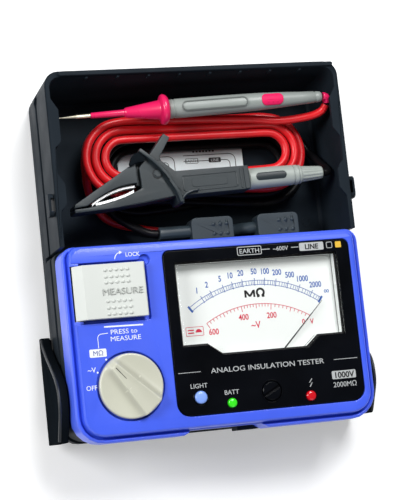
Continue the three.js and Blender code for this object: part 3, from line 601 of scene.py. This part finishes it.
def red_lead():
    """From the probe over the winding, a little over four times round it and to the line plug."""
    coil = Extent("red_coil")
    from_probe = [(68.4, 67.9, 43.6), (66.3, 65, 41.4), (60, 63.2, 38.5), (46, 62.5, 35.2),
                  (32, 64, 34.6), (10, 65, 34.6), (-8, 65.6, 34.2), (-22, 66.6, 31.6)]
    wound = turns(coil, two_layers(coil, True), 12, 16)
    to_plug = [(-52.4, 43.6, 23.9), (-51.7, 38.5, 21), (-49.8, 32, 18.3), (-46, 25, 16.5),
               (-40, 19.6, 16.4), (-30, 16.4, 16.4), (-18, 13.8, 16.4), (0, 11.6, 16.4),
               (10, 11, 16.8), (17.2, 11, 18.6)]
    return lead("red_test_lead", [*from_probe, *wound, *to_plug], "lead_red",
                ("red_coil", "red_lead_probe_end", "red_lead_plug_end"))


def black_lead():
    """From the clip to the winding, a little over four times round it and to the earth plug."""
    coil = Extent("black_coil")
    from_clip = [(64.3, 34.6, 39), (66.6, 34.8, 38.4), (68.3, 36.8, 34.4), (67.2, 42, 27),
                 (65, 48, 20.5), (60.5, 56, 18.4)]
    wound = turns(coil, two_layers(coil, False), 5, 16)
    to_plug = [(-45.6, 34.6, 21.2), (-43.2, 27.6, 21.4), (-39, 21.4, 21.9),
               (-33.6, 17, 23.4), (-28.6, 13.6, 25.6), (-24.5, 11.3, 26.8), (-20.2, 10.7, 27)]
    return lead("black_test_lead", [*from_clip, *wound, *to_plug], "lead_black",
                ("black_coil", "black_lead_clip_end", "black_lead_plug_end"))


RED_LEAD = red_lead()
BLACK_LEAD = black_lead()


# ---- Casing ----
EDGE_WIDTHS = {  # how far the sharp edges of these CAD nodes are rounded, in millimetres
    0.6: "lid_ear_left lid_ear_right",
    0.5: "lid",
    0.42: "front_shell",
    0.4: "meter_housing strap_eyelet_left strap_eyelet_right",
    0.35: "case_tray earth_plug line_plug clip_body clip_jaw measure_key",
    0.3: "range_switch movement_frame movement_magnet",
    0.25: "battery_door measure_switch",
    0.2: "battery_holder zero_screw",
    0.15: "display_panel moving_coil",
    0.1: "storage_label circuit_board scale_plate",
    0.08: "clip_contact_lower clip_contact_upper",
    0.05: "pointer",
}
EDGES = {node: width for width, nodes in EDGE_WIDTHS.items() for node in nodes.split()}
OTHER_EDGES = 0.12
# The lid's ears take the darker copy of the case black, which is painted shade.
OWN_FINISH = {"earth_plug": "plug_grey", "line_plug": "plug_grey", "lid_ear_left": "case_black_shaded",
              "lid_ear_right": "case_black_shaded"}
for node_name in frame["nodes"]:
    finish_node(node_name, EDGES.get(node_name, OTHER_EDGES), OWN_FINISH.get(node_name))

SHELL = Extent("front_shell")
PANEL = Extent("display_panel")
DIAL = Extent("scale_plate")
KEY = Extent("measure_key")
KNOB = pivot("range_knob_turn")
NEEDLE = pivot("pointer_swing")


def shell_legends():
    """White printing on the deck round the key and the knob."""
    s = printed(SHELL.z1)
    s.text("LOCK", KEY.x + 12.7, KEY.y1 + 4.2, 2.0, 0.02, 0.95)
    hook = arc(KEY.x + 7.2, KEY.y1 + 2.2, 3.2, -88, -14, 8)
    s.stroke(hook, 0.4)
    x, y = hook[-1]
    s.prism([(x - 0.1, y + 0.8), (x - 0.1, y - 0.8), (x + 1.4, y + 0.15)])
    bar_y = KEY.y0 - 3.5
    s.stroke([(KEY.x0 + 12.7, bar_y), (KEY.x1 - 2.6, bar_y - 0.3)], 0.7)
    s.text("PRESS to", KEY.x + 4.9, bar_y - 2.6, 2.3, stretch=1.12)
    s.text("MEASURE", KEY.x + 5.5, bar_y - 5.8, 2.3, stretch=1.12)
    x = KNOB.x - 13.5
    s.stroke([(KEY.x - 2.8, bar_y - 3), (x + 1.6, bar_y - 3.2), (x + 0.5, bar_y - 3.7),
              (x, bar_y - 4.8), (x, bar_y - 9.6)], 0.3)
    for angle in (-38.5, -63.5):
        s.prism(circle(*polar(KNOB, 16.9, angle), 0.45, 16))
    s.text("~V", KNOB.x - 17.8, KNOB.y + 9, 2.4, 0.02)
    s.text("OFF", KNOB.x - 18.6, KNOB.y + 0.7, 2.3, 0.01, 0.95)
    s.prism(rounded(KNOB.x - 18.1, KNOB.x - 10, KNOB.y + 14.6, KNOB.y + 18.4, 0.6, 4))
    piece("shell_legends", s, "shell_blue", "ink_white")
    tag = printed(SHELL.z1, over=True).text("MΩ", KNOB.x - 14, KNOB.y + 16.5, 2.4)
    piece("megohm_legend", tag, "shell_blue", "ink_navy")


def panel_legends():
    """Silver printing on the dark panel; places run from its lower left corner."""
    place = (PANEL.z1, PANEL.x0, PANEL.y0)
    s = printed(*place)
    s.stroke(rounded(37, 49, 73.9, 77.8, 0.6, 4), 0.35, closed=True)
    s.text("EARTH", 43, 75.85, 2.2, 0.02, 1.1)
    s.stroke([(49.2, 76), (53.4, 76)], 0.35)
    s.text("~600V", 58.8, 76, 2.1, 0.03)
    s.stroke([(64.2, 76), (68, 76)], 0.35)
    s.prism(rounded(68.4, 80.8, 73.9, 77.8, 0.6, 4))
    s.stroke(rounded(82.4, 85.2, 74.5, 77.3, 0.5, 4), 0.3, closed=True)
    for x0, x1 in ((1.6, 12.6), (79.4, 91.5)):
        s.stroke([(x0, 20.3), (x1, 20.3)], 0.25)
    s.text("ANALOG INSULATION TESTER", 46, 20.3, 2.5, 0.01, 1.2)
    s.text("LIGHT", 11, 13.8, 2.2, 0.01)
    s.text("BATT", 26.7, 9.5, 2.2, 0.01)
    s.stroke([(67.2, 12.2), (65.8, 10.4), (67.2, 10.4), (65.9, 8.4)], 0.4)
    s.prism(rounded(77.6, 89.8, 10.9, 14.8, 0.6, 4))
    s.text("2000MΩ", 83.8, 8.3, 2.5)
    piece("panel_legends", s, "panel_black", "ink_silver")
    dark = printed(*place, over=True)
    dark.text("LINE", 74.6, 75.85, 2.5, 0.12)
    dark.text("1000V", 83.7, 12.85, 2.9, 0.12)
    piece("panel_legends_dark", dark, "panel_black", "ink_black")
    amber = printed(*place).prism(rounded(86.9, 89.9, 74.4, 77.4, 0.5, 4))
    piece("panel_mark_amber", amber, "panel_black", "ink_amber")


def key_relief():
    """Raised grip marks and lettering on the measure key, and the bosses of its hinge."""
    marks = Shape()
    for column in range(5):
        for drop in (3.0, 6.1, 8.8, 17.6, 20.7, 23.6):
            x, y = KEY.x0 + 14.9 + 2.65 * column, KEY.y1 - drop
            rings = ((1.0, 0.85, -0.1), (0.92, 0.78, 0.25), (0.6, 0.5, 0.6), (0.2, 0.16, 0.72))
            marks.loft([[(x + a * u, y + b * v, KEY.z1 + h) for u, v in circle(0, 0, 1, 12)]
                        for a, b, h in rings])
    piece("key_grip_marks", marks, "key_white", body="measure_key", smooth=60)
    # The raised letters are drawn grey: painted shade of their relief.
    word = Shape(None, (KEY.z1 - 0.1, KEY.z1 + 0.5))
    word.text("MEASURE", KEY.x0 + 22.4, KEY.y1 - 13.1, 3.1, stretch=1.1)
    piece("key_lettering", word, "key_white", "key_shade", "measure_key")
    bosses = Shape()
    for y0, y1 in ((KEY.y0 - 1.7, KEY.y0 - 0.25), (KEY.y1 + 0.25, KEY.y1 + 1.5)):
        bosses.prism(rounded(KEY.x0 - 0.8, KEY.x0 + 3.4, y0, y1, 0.3, 3), SHELL.z1 - 3,
                     SHELL.z1 - 0.05, 0.2)
    piece("key_hinge_bosses", bosses, "shell_blue")


def ear_edges():
    """Rounded upper edge of each of the lid's ears, which catches the light along its S-bend."""
    radius, depth = 0.8, 0.62
    bend = ((-34.5, 9), (-38, 11), (-44, 18), (-53, 31.5), (-59, 38), (-65, 40), (-72, 39.4),
            (-80, 34.5), (-85.8, 30.7))
    for side, outwards in (("left", -1), ("right", 1)):
        ear = Extent("lid_ear_" + side)
        x = (ear.x0 if side == "left" else ear.x1) - outwards * depth
        line = catmull([(x, y, z) for y, z in bend])
        core = []
        for a, b in zip(line, line[1:]):
            along = (b - a).normalized()
            core.append((a + b) / 2 + Vector((0, -along.z, along.y)) * depth)
        piece("ear_edge_" + side, Shape().tube(core, radius, 14), "case_black", "ear_edge", "lid")


shell_legends()
panel_legends()
key_relief()
ear_edges()


# ---- Range knob, buttons and lenses ----
def range_knob():
    """Dished disc; a ridge, narrow at its pointer and wide at its tail, blends into the dish."""
    box = Extent("range_knob")
    radius = (box.x1 - box.x0) / 2
    rim_z, ridge_z = box.z0 + 2.5, box.z1
    megohm_mark = 130  # where the ridge points at rest, in degrees from the X axis
    turn = placed(KNOB.x, KNOB.y, 0, megohm_mark)

    def height(x, y):
        share = (x + radius) / (2 * radius)
        half = 5.0 * (1 - share) + 1.2 * share
        away = max(0.0, abs(y) - half)
        ridge = math.exp(-((away / 1.7) ** 1.3))
        crown = 1 - 0.14 * (1 - min(1.0, abs(y) / half) ** 2)
        nose = min(1.0, max(0.0, (radius - 0.4 - x) / 2.6))
        tail = min(1.0, max(0.0, (radius + x) / 0.9))
        dish = 0.7 * (x * x + y * y) / radius ** 2
        return rim_z + dish + (ridge_z - rim_z - dish) * ridge * crown * nose ** 0.6 * tail ** 0.5

    sides, steps = 144, 34
    rings = [at_height(circle(0, 0, r, sides), z) for r, z in
             ((radius - 0.6, box.z0), (radius, box.z0 + 0.6), (radius, rim_z - 0.2))]
    for i in range(steps):
        rim_drop = 0.25 if i == 0 else 0
        rings.append([(x, y, height(x, y) - rim_drop)
                      for x, y in circle(0, 0, (radius - 0.25) * (1 - i / steps), sides)])
    piece("range_knob_grip", Shape(turn).loft(rings), "knob_cream", body="range_knob",
          stands_for=("range_knob",), smooth=50)
    outline = ((4.4, -0.12), (11.4, -0.2), (11.4, 0.2), (4.4, 0.12))
    line = Shape(turn).loft([[(x, y, height(x, 0) + h) for x, y in outline]
                             for h in (-0.3, 0.04)])
    piece("range_knob_index", line, "knob_cream", "ink_black", "range_knob")


def domed_button(name, node, slot, rise, body="case"):
    """Turned button or lens with a softly domed top."""
    box = Extent(node)
    radius = (box.x1 - box.x0) / 2
    profile = [(box.z0, radius)]
    for k in range(10):
        a = math.pi / 2 * k / 9
        profile.append((box.z1 - rise + rise * math.sin(a), radius * math.cos(a) ** 0.55 + 0.01))
    dome = Shape(placed(box.x, box.y, 0, tilt=-90)).revolve(profile)
    piece(name, dome, slot, body=body, stands_for=(node,))


def panel_collar(name, node, width):
    """Thin moulded collar on the panel, round a button or a screw."""
    box = Extent(node)
    inner = (box.x1 - box.x0) / 2 + 0.35
    outer = inner + width
    section = [(-0.1, inner), (0.25, inner), (0.4, (inner + outer) / 2), (0.25, outer),
               (-0.1, outer), (-0.1, inner)]
    collar = Shape(placed(box.x, box.y, PANEL.z1, tilt=-90)).revolve(section, 64, cap=False)
    piece(name, collar, "panel_black")


range_knob()
domed_button("light_button_cap", "light_button", "button_blue", 0.8, "light_button")
domed_button("battery_lens_dome", "battery_led_lens", "lens_green", 1.0)
domed_button("live_lens_dome", "live_led_lens", "lens_red", 1.0)
panel_collar("light_button_collar", "light_button", 0.5)
panel_collar("zero_screw_collar", "zero_screw", 0.55)


# ---- Dial ----
def tick(shape, centre, inner, outer, angle, width):
    shape.stroke([polar(centre, inner, angle), polar(centre, outer, angle)], width)


def resistance_scale():
    """Blue double arc with its numbers, and the black unit under it."""
    centre, radius, band = (NEEDLE.x - 0.4, NEEDLE.y - 11.8), 56.9, 2.1
    s = printed(DIAL.z1)
    for r in (radius, radius - band):
        s.stroke(arc(*centre, r, -35.6, 35.6, 48), 0.26)
    for angle in (-36, 36):
        tick(s, centre, radius - band - 0.6, radius + 0.9, angle, 1.0)
    numbers = ((-28, "1"), (-22.7, "2"), (-15.9, "5"), (-11, "10"), (-5.8, "20"), (0.5, "50"),
               (5.7, "100"), (11.5, "200"), (17.7, "500"), (23.8, "1000"), (30.6, "2000"),
               (36.6, "∞"))
    for i, (angle, number) in enumerate(numbers):
        last = number == "∞"
        s.text(number, *polar(centre, radius + 4.5, angle), 2.9, 0.03 if last else 0.07, 0.78)
        if not last:
            tick(s, centre, radius - band - 0.5, radius + 1.2, angle, 0.3)
            gap = numbers[i + 1][0] - angle
            for share in (0.3, 0.53, 0.72, 0.87):
                tick(s, centre, radius - band, radius, angle + gap * share, 0.2)
    piece("resistance_scale", s, "dial_white", "ink_scale_blue")
    unit = printed(DIAL.z1, NEEDLE.x - 5.2, NEEDLE.y + 37.1)
    tall = 3.5
    for line in (((0, 0), (0, 1)), ((4.4, 0), (4.4, 1)), ((0.15, 0.92), (2.2, 0.12)),
                 ((2.2, 0.12), (4.25, 0.92))):
        unit.stroke([(x, y * tall) for x, y in line], 1.0)
    ohm = arc(7.6, 2.05, 1.75, -152, 152, 20)
    foot_y, start_x, end_x = 0.25, ohm[0][0], ohm[-1][0]
    unit.stroke([(start_x - 1.1, foot_y), (start_x, foot_y), *ohm, (end_x, foot_y),
                 (end_x + 1.1, foot_y)], 1.05)
    piece("resistance_unit", unit, "dial_white", "ink_black")


def voltage_scale():
    """Red arc with ticks on its inner side, and a boxed symbol in the dial's corner."""
    centre, radius = (NEEDLE.x + 0.1, NEEDLE.y - 15.6), 49.3
    s = printed(DIAL.z1)
    s.stroke(arc(*centre, radius, -32, 32, 40), 0.28)
    majors = (-32, -9.5, 8.3, 32)
    for start, end in zip(majors, majors[1:]):
        for k in range(11):
            long = 2.8 if k in (0, 10) else 2.1 if k == 5 else 1.4
            tick(s, centre, radius - long, radius, start + (end - start) * k / 10, 0.3)
    for words, dx, dy, size in (
            ("600", -22.9, 22.1, 2.9), ("400", -7.3, 27.9, 2.9), ("200", 6.9, 27.8, 2.9),
            ("0", 22.7, 23.4, 2.6), ("V", 27.0, 23.2, 2.6), ("~V", -1.6, 23.8, 3.4)):
        s.text(words, NEEDLE.x + dx, NEEDLE.y + dy, size, 0.07, 0.84)
    x, y = DIAL.x0 + 6.2, DIAL.y0 + 10.8
    s.stroke(rounded(x, x + 8.6, y, y + 4.2, 0.3, 3), 0.24, closed=True)
    for row in (1.4, 2.7):
        s.stroke([(x + 0.9, y + row), (x + 3.9, y + row)], 0.6)
    s.prism(arc(x + 6.2, y + 1.5, 1.6, 90, -90, 12))
    piece("voltage_scale", s, "dial_white", "ink_scale_red")


def pointer():
    """Thin lance on a hub, with a short counterweight."""
    box = Extent("pointer")
    low, length = NEEDLE.z, 46.5
    s = Shape(placed(NEEDLE.x, NEEDLE.y, 0, 45))
    s.loft([[(-8, -w, z), (-2, -0.5, z), (length - 8, -0.17, z), (length, -0.09, z),
             (length, 0.09, z), (length - 8, 0.17, z), (-2, 0.5, z), (-8, w, z)]
            for z, w in ((low, 0.9), (low + 0.3, 0.9))])
    s.prism(circle(0, 0, 1.9, 28), box.z0, box.z1, 0.25)
    s.prism(circle(-7.4, 0, 1.3, 20), low - 0.5, low + 0.6, 0.2)
    piece("needle", s, "pointer_black", body="pointer", stands_for=("pointer",))


def dial_bezel():
    """Pale wall round the dial, under the clear cover; its outline steps down in the middle."""
    glass = Extent("meter_window")
    step = 5.2
    x0, x1, y0, y1 = glass.x0 + 0.5, glass.x1 - 0.3, glass.y0 + 0.4, glass.y1 - 0.3
    a, b, c, d = (glass.x0 + slope for slope in (12.5, 19.5, 62, 68))
    outline = [(x0, y0 + step), (a, y0 + step), (b, y0), (c, y0), (d, y0 + step),
               (x1, y0 + step), (x1, y1), (x0, y1)]
    low, high = DIAL.z1 + 0.02, glass.z0 - 0.15
    # A black band runs along the wall's foot and another along its top edge.
    for name, z0, z1, wall, material in (
            ("dial_bezel", low + 0.3, high - 0.35, 0.0, "bezel_pale"),
            ("dial_bezel_dark_foot", low, low + 0.3, 0.12, "ink_black"),
            ("dial_bezel_dark_top", high - 0.35, high, 0.25, "ink_black")):
        inner, outer = inset(outline, wall), inset(outline, -0.7)
        section = ((inner, z0), (inner, z1), (outer, z1), (outer, z0), (inner, z0))
        ring = Shape().loft([at_height(line, z) for line, z in section], cap=False)
        piece(name, ring, "dial_white", material, smooth=20)


resistance_scale()
voltage_scale()
pointer()
dial_bezel()


# ---- Probe ----
PROBE = placed(-67.1, 67.9, 39.5, 1.5, -3)  # at its tip, along its axis


def probe():
    """Turned needle, red guard and grey barrel with a plain plaque and a ribbed thumb pad."""
    tip = [(0, 0.02), (0.5, 0.2), (9, 0.85), (9.6, 0.98), (10.2, 0.9), (16, 0.95), (16, 0.02)]
    piece("probe_needle", Shape(PROBE).revolve(tip, 32), "brass", stands_for=("probe_tip",))
    guard = [(16.3, 0.02), (16.3, 1.15), (16.7, 1.35), (32.6, 1.65), (33, 2.15), (33.6, 2.45),
             (49.6, 4.7), (50.3, 5.3), (50.7, 6.7), (51.3, 7.3), (52.1, 7.5), (52.9, 7.3),
             (53.6, 6.9), (54.2, 6.2), (54.4, 5.6), (54.4, 0.02)]
    piece("probe_finger_guard", Shape(PROBE).revolve(guard, 64), "probe_red",
          stands_for=("probe_guard",))
    barrel = [(54.7, 0.02), (54.7, 4.2), (55, 4.55), (56.6, 4.75), (57, 4.5), (57.6, 4.5),
              (58, 4.75), (80, 4.6), (100, 4.3), (112, 3.8), (122, 3.2), (128.6, 2.9),
              (129, 2.65), (129.7, 2.65), (130.1, 2.8), (132, 2.5), (132.5, 2.1), (132.5, 0.02)]
    piece("probe_handle", Shape(PROBE).revolve(barrel, 64), "grip_grey",
          stands_for=("probe_barrel",))
    plain = barrel[6:]

    def surface(x, y):
        """Height of the barrel's plain part above its axis."""
        for (xa, ra), (xb, rb) in zip(plain, plain[1:]):
            if xa <= x <= xb:
                radius = ra + (rb - ra) * (x - xa) / (xb - xa)
                return math.sqrt(max(0.1, radius * radius - y * y))
        return 0.0

    outline = rounded(60.5, 94, -2.7, 2.7, 2.6)
    piece("probe_plaque", Shape(PROBE).patch(outline, surface, 0.28), "grip_grey")
    # The plaque's rim is drawn darker than the barrel: painted shade that outlines the plaque.
    rim = Shape(PROBE)
    a, b = inset(outline, 0.75), inset(outline, 0.15)
    rim.loft([[(x, y, surface(x, y) + h) for x, y in line]
              for line, h in ((a, 0.2), (a, 0.7), (b, 0.7), (b, 0.2), (a, 0.2))], cap=False)
    piece("probe_plaque_rim", rim, "grip_grey", "grip_grey_shaded")
    pad = Shape(PROBE).patch(rounded(101, 112, -2.9, 2.9, 2.4), surface, 0.55, 1.2)
    for x in (104.2, 106.5, 108.8):
        pad.patch(rounded(x - 0.45, x + 0.45, -1.9, 1.9, 0.4, 4), surface, 0.64, 0.1)
    piece("probe_thumb_pad", pad, "probe_red", "pad_red", stands_for=("probe_pad",))


probe()


# ---- Clip ----
CLIP = placed(-22, 37.4, 0, 2)  # at its pivot, along its body


def bezier(a, b, c, steps):
    """A curve from a to c that leans towards b."""
    out = []
    for k in range(steps + 1):
        t = k / steps
        out.append(tuple((1 - t) ** 2 * p + 2 * t * (1 - t) * q + t * t * r
                         for p, q, r in zip(a, b, c)))
    return out


def jaw_lining(name, node, body, tip, middle, root, side):
    """Bright strip along a jaw's curved edge, with fine teeth."""
    box = Extent(node)
    edge = bezier(tip, middle, root, 44)
    near = [(x, y + side * 0.25) for x, y in edge]
    far = [(x, y + side * (1.15 if i % 2 else 1.55)) for i, (x, y) in enumerate(edge)]
    strip = Shape(CLIP).prism(near + far[::-1], box.z0, box.z1)
    piece(name, strip, "steel", "lining", body, (node,), smooth=20)


def clip_details():
    """Pivot cap, raised marks, guard and jaw linings."""
    high = Extent("clip_body").z1 - 3
    cap = Shape(CLIP)
    cap.prism(circle(0, 0, 2.1, 36), high - 0.2, high + 0.35, 0.15)
    cap.prism(circle(0, 0, 1.65), high + 0.3, high + 0.75, 0.15)
    piece("clip_pivot_cap", cap, "clip_grey", bevel=0.06)
    # A black ring round the pivot cap: painted shade of the recess round it.
    groove = Shape(CLIP, (high - 0.1, high + 0.1)).stroke(circle(0, 0, 2.3, 36), 0.4, closed=True)
    piece("clip_pivot_groove_shade", groove, "clip_grey", "ink_black")
    panel = Shape(CLIP, (high - 0.1, high + 0.3))
    panel.stroke(rounded(12.2, 39.4, -9.6, -2.2, 0.8, 4), 0.55, closed=True)
    panel.prism(rounded(16.5, 34.5, -8.1, -3.8, 1.2, 5), high - 0.1, high + 0.22, 0.12)
    panel.prism(rounded(41.2, 42.2, -10.6, -0.8, 0.3, 3), high - 0.1, high + 0.35, 0.15)
    panel.prism(rounded(43.2, 45.6, -11.2, 0.0, 0.5, 3), high - 0.1, high + 0.5, 0.2)
    piece("clip_body_relief", panel, "clip_grey", bevel=0.05)
    upper = bezier((9.2, -14.2), (11.2, -8.9), (19.4, -9.4), 10)
    lower = bezier((10.2, -14.8), (12.2, -10.2), (19.2, -10.2), 10)
    fin = Shape(CLIP).prism(lower + upper[::-1], high - 3, high + 2.2, 0.4)
    piece("clip_guard_fins", fin, "clip_grey", smooth=45)
    web = bezier((-8.2, 11), (-12.4, 10.4), (-13.6, 5.2), 8)
    web += [(-12.8, 4.6), (-9.6, 6.1), (-6, 6.2), (-5.2, 8.6)]
    # The guard's web takes the darker copy of the case black: painted shade.
    piece("clip_guard_web", Shape(CLIP).prism(web, high + 0.1, high + 1.9, 0.3), "clip_grey",
          "case_black_shaded", smooth=45)
    jaw_lining("clip_lining_lower", "clip_contact_lower", "case", (-31.5, -12.4), (-20, -11),
               (-12, -7.8), 1)
    jaw_lining("clip_lining_upper", "clip_contact_upper", "clip_jaw", (-33.5, -10.9),
               (-22, -3.6), (-11.4, -3.9), -1)


def torsion_spring():
    """Coil round the pivot with one leg on the jaw and one on the body."""
    box = Extent("clip_spring")
    radius, wire, wound, steps = 3.0, 0.32, 3, 20
    points = [(7.5, -4.6, box.z0 + 0.4), (4.5, -3.6, box.z0 + 0.4)]
    for k in range(wound * steps + 1):
        a = -1.0 + TAU * k / steps
        rise = box.z0 + 0.4 + (box.z1 - box.z0 - 0.8) * k / (wound * steps)
        points.append((radius * math.cos(a), radius * math.sin(a), rise))
    points.append((-1.6, -5.4, box.z1 - 0.4))
    piece("clip_torsion_spring", Shape(CLIP).tube(points, wire), "steel",
          stands_for=("clip_spring",))


def clip_sleeve():
    """Barrel behind the clip: a smooth sleeve, two grooves and a ribbed tail."""
    axis = CLIP @ Matrix.Translation((0, -5.8, 39))
    sleeve = [(46.3, 0.02), (46.3, 4.7), (46.8, 5.25), (60, 5.15), (69.6, 4.95), (69.9, 4.6),
              (70.5, 4.6), (70.8, 4.9), (72.2, 4.85), (72.5, 4.45), (73.1, 4.45), (73.4, 4.75),
              (74, 4.5), (74.2, 4), (74.2, 0.02)]
    piece("clip_sleeve", Shape(axis).revolve(sleeve, 56), "barrel_grey",
          stands_for=("clip_barrel",))
    sides, flutes = 96, 12
    rings = []
    for x, r, depth in (
            (74.1, 0.02, 0), (74.1, 3.9, 0), (74.6, 4.05, 0.05), (75.4, 3.95, 0.3),
            (83.6, 3.3, 0.3), (84.6, 3.15, 0.1), (85.4, 3, 0), (85.6, 2.7, 0), (85.6, 0.02, 0)):
        ring = []
        for k in range(sides):
            a = TAU * k / sides
            reach = r - depth * (0.5 + 0.5 * math.cos(flutes * a)) ** 2
            ring.append((x, reach * math.cos(a), reach * math.sin(a)))
        rings.append(ring)
    piece("clip_strain_relief", Shape(axis).loft(rings), "barrel_grey", smooth=50)
    patch = Shape(axis).patch(rounded(49.6, 65.4, -1.9, 1.9, 1.85),
                              lambda x, y: math.sqrt(5.15 ** 2 - y * y), 0.22)
    piece("clip_sleeve_patch", patch, "clip_grey")


clip_details()
torsion_spring()
clip_sleeve()


# ---- Label and tray marks ----
def label_print():
    """Generic drawing of how the two leads are stowed, drawn down from the label's far edge."""
    label = Extent("storage_label")
    s = printed(label.z1, 0, label.y1)
    for x0, x1 in ((-24, -4.4), (0.4, 27.6)):
        for drop in (0.0, 3.0):
            corner = 3.2 - drop * 0.4
            bend = arc(x1 - drop - corner, -4.8 - drop - corner, corner, 0, 90, 6)
            s.stroke([(x0, -4.8 - drop), *bend, (x1 - drop, -12.5)], 0.35)
    for k in range(7):
        s.prism(rounded(5.5 + 1.7 * k, 6.6 + 1.7 * k, -3.4, -1.6, 0.2, 2))
        s.prism(rounded(-22.6 + 1.6 * k, -21.6 + 1.6 * k, -3, -1.5, 0.2, 2))
    s.prism(rounded(13.6, 20, -8.9, -6.4, 0.5, 3))
    s.stroke(rounded(1.4, 8, -8.9, -6.4, 0.5, 3), 0.25, closed=True)
    s.text("EARTH", 4.7, -7.65, 1.5)
    for k in range(15):
        s.prism(rounded(-7 + 2.4 * k, -5.3 + 2.4 * k, -13.6, -12.2, 0.2, 2))
    piece("label_print", s, "label_grey", "ink_black")
    pale = printed(label.z1, 0, label.y1, over=True).text("LINE", 16.8, -7.65, 1.5)
    piece("label_print_pale", pale, "label_grey", "ink_silver")


def tray_marks():
    """Round moulding marks on the tray's floor."""
    floor_z = Extent("storage_label").z0 - 0.3
    section = ((2.3, -0.2), (2.3, 0.25), (1.9, 0.25), (1.9, -0.2), (2.3, -0.2))
    s = Shape()
    for x, y in ((-54, 76.4), (54, 76.4), (-62, 14), (62, 14)):
        s.loft([at_height(circle(x, y, r), floor_z + h) for r, h in section], cap=False)
    piece("tray_mould_marks", s, "case_black")


label_print()
tray_marks()


# ---- Inside the meter ----
def board_components():
    """Chips, resistors and capacitors on the circuit board, clear of the switches and movement."""
    board = Extent("circuit_board")
    chips, bands, cans = Shape(), Shape(), Shape()
    for x, y, wide, deep in ((-30, -30, 12, 5), (-8, -32, 9, 4), (42, -36, 10, 10), (-26, -42, 8, 4)):
        chips.prism(rounded(x, x + wide, y, y + deep, 0.4, 3), board.z1, board.z1 + 1.7, 0.2)
    for i in range(9):
        x, y = -34 + 4.2 * i, -75
        bands.tube([(x, y - 3, board.z1 + 1.2), (x, y + 3, board.z1 + 1.2)], 1.05, 14)
    for x, y, r in ((44, -50, 3.2), (44, -62, 3.2), (46, -74, 2.6), (-18, -52, 2.6)):
        cans.prism(circle(x, y, r, 28), board.z1, board.z1 + 7, 0.5)
    piece("board_chips", chips, "switch_black")
    piece("board_resistors", bands, "knob_cream")
    piece("board_capacitors", cans, "cell_wrap")


def cell_ends():
    """Steel end discs of the four cells."""
    discs = Shape()
    for i in range(1, 5):
        cell = Extent(f"battery_{i}")
        discs.turn = placed(cell.x, 0, cell.z, 90)
        radius = (cell.x1 - cell.x0) / 2 - 0.5
        for y in (cell.y0 + 1.4, cell.y1 - 1.6):
            discs.revolve([(y, radius), (y + 0.2, radius)], 32)
    piece("cell_ends", discs, "steel")


board_components()
cell_ends()


# ---- Floor and light ----
def floor_and_light():
    """Plain pale floor, a dim even surround and three soft lamps."""
    reach = 3000
    mesh = Shape().prism([(-reach, -reach), (reach, -reach), (reach, reach), (-reach, reach)],
                         -2, -0.2).mesh("floor")
    floor = show("floor", mesh)
    n = Nodes("floor_paper")
    n.put(Base_Color=n.ramp(n.noise(30, 5), 0.3, 0.7, (0.86, 0.87, 0.88), (0.89, 0.895, 0.9)),
          Roughness=0.85, Emission_Color=(1, 1, 1, 1), Emission_Strength=0.3)
    mesh.materials.append(n.material)
    world = bpy.data.worlds.new("studio")
    world.use_nodes = True
    surround = world.node_tree.nodes["Background"].inputs
    surround["Color"].default_value = (1, 1, 1, 1)
    surround["Strength"].default_value = 0.18
    bpy.context.scene.world = world
    for name, place, size, power in (
            ("top", (0.25, 0.7, 1.25), 0.55, 16.5), ("left", (-1.3, 0.35, 0.9), 0.6, 16),
            ("front", (0.3, -1.1, 0.8), 0.8, 2.2)):
        data = bpy.data.lights.new(name, "AREA")
        data.size = size
        data.energy = power
        lamp = show(name, data)
        lamp.location = place
        lamp.rotation_euler = (-Vector(place)).to_track_quat("-Z", "Y").to_euler()
    bpy.context.scene.view_settings.view_transform = "Standard"


floor_and_light()
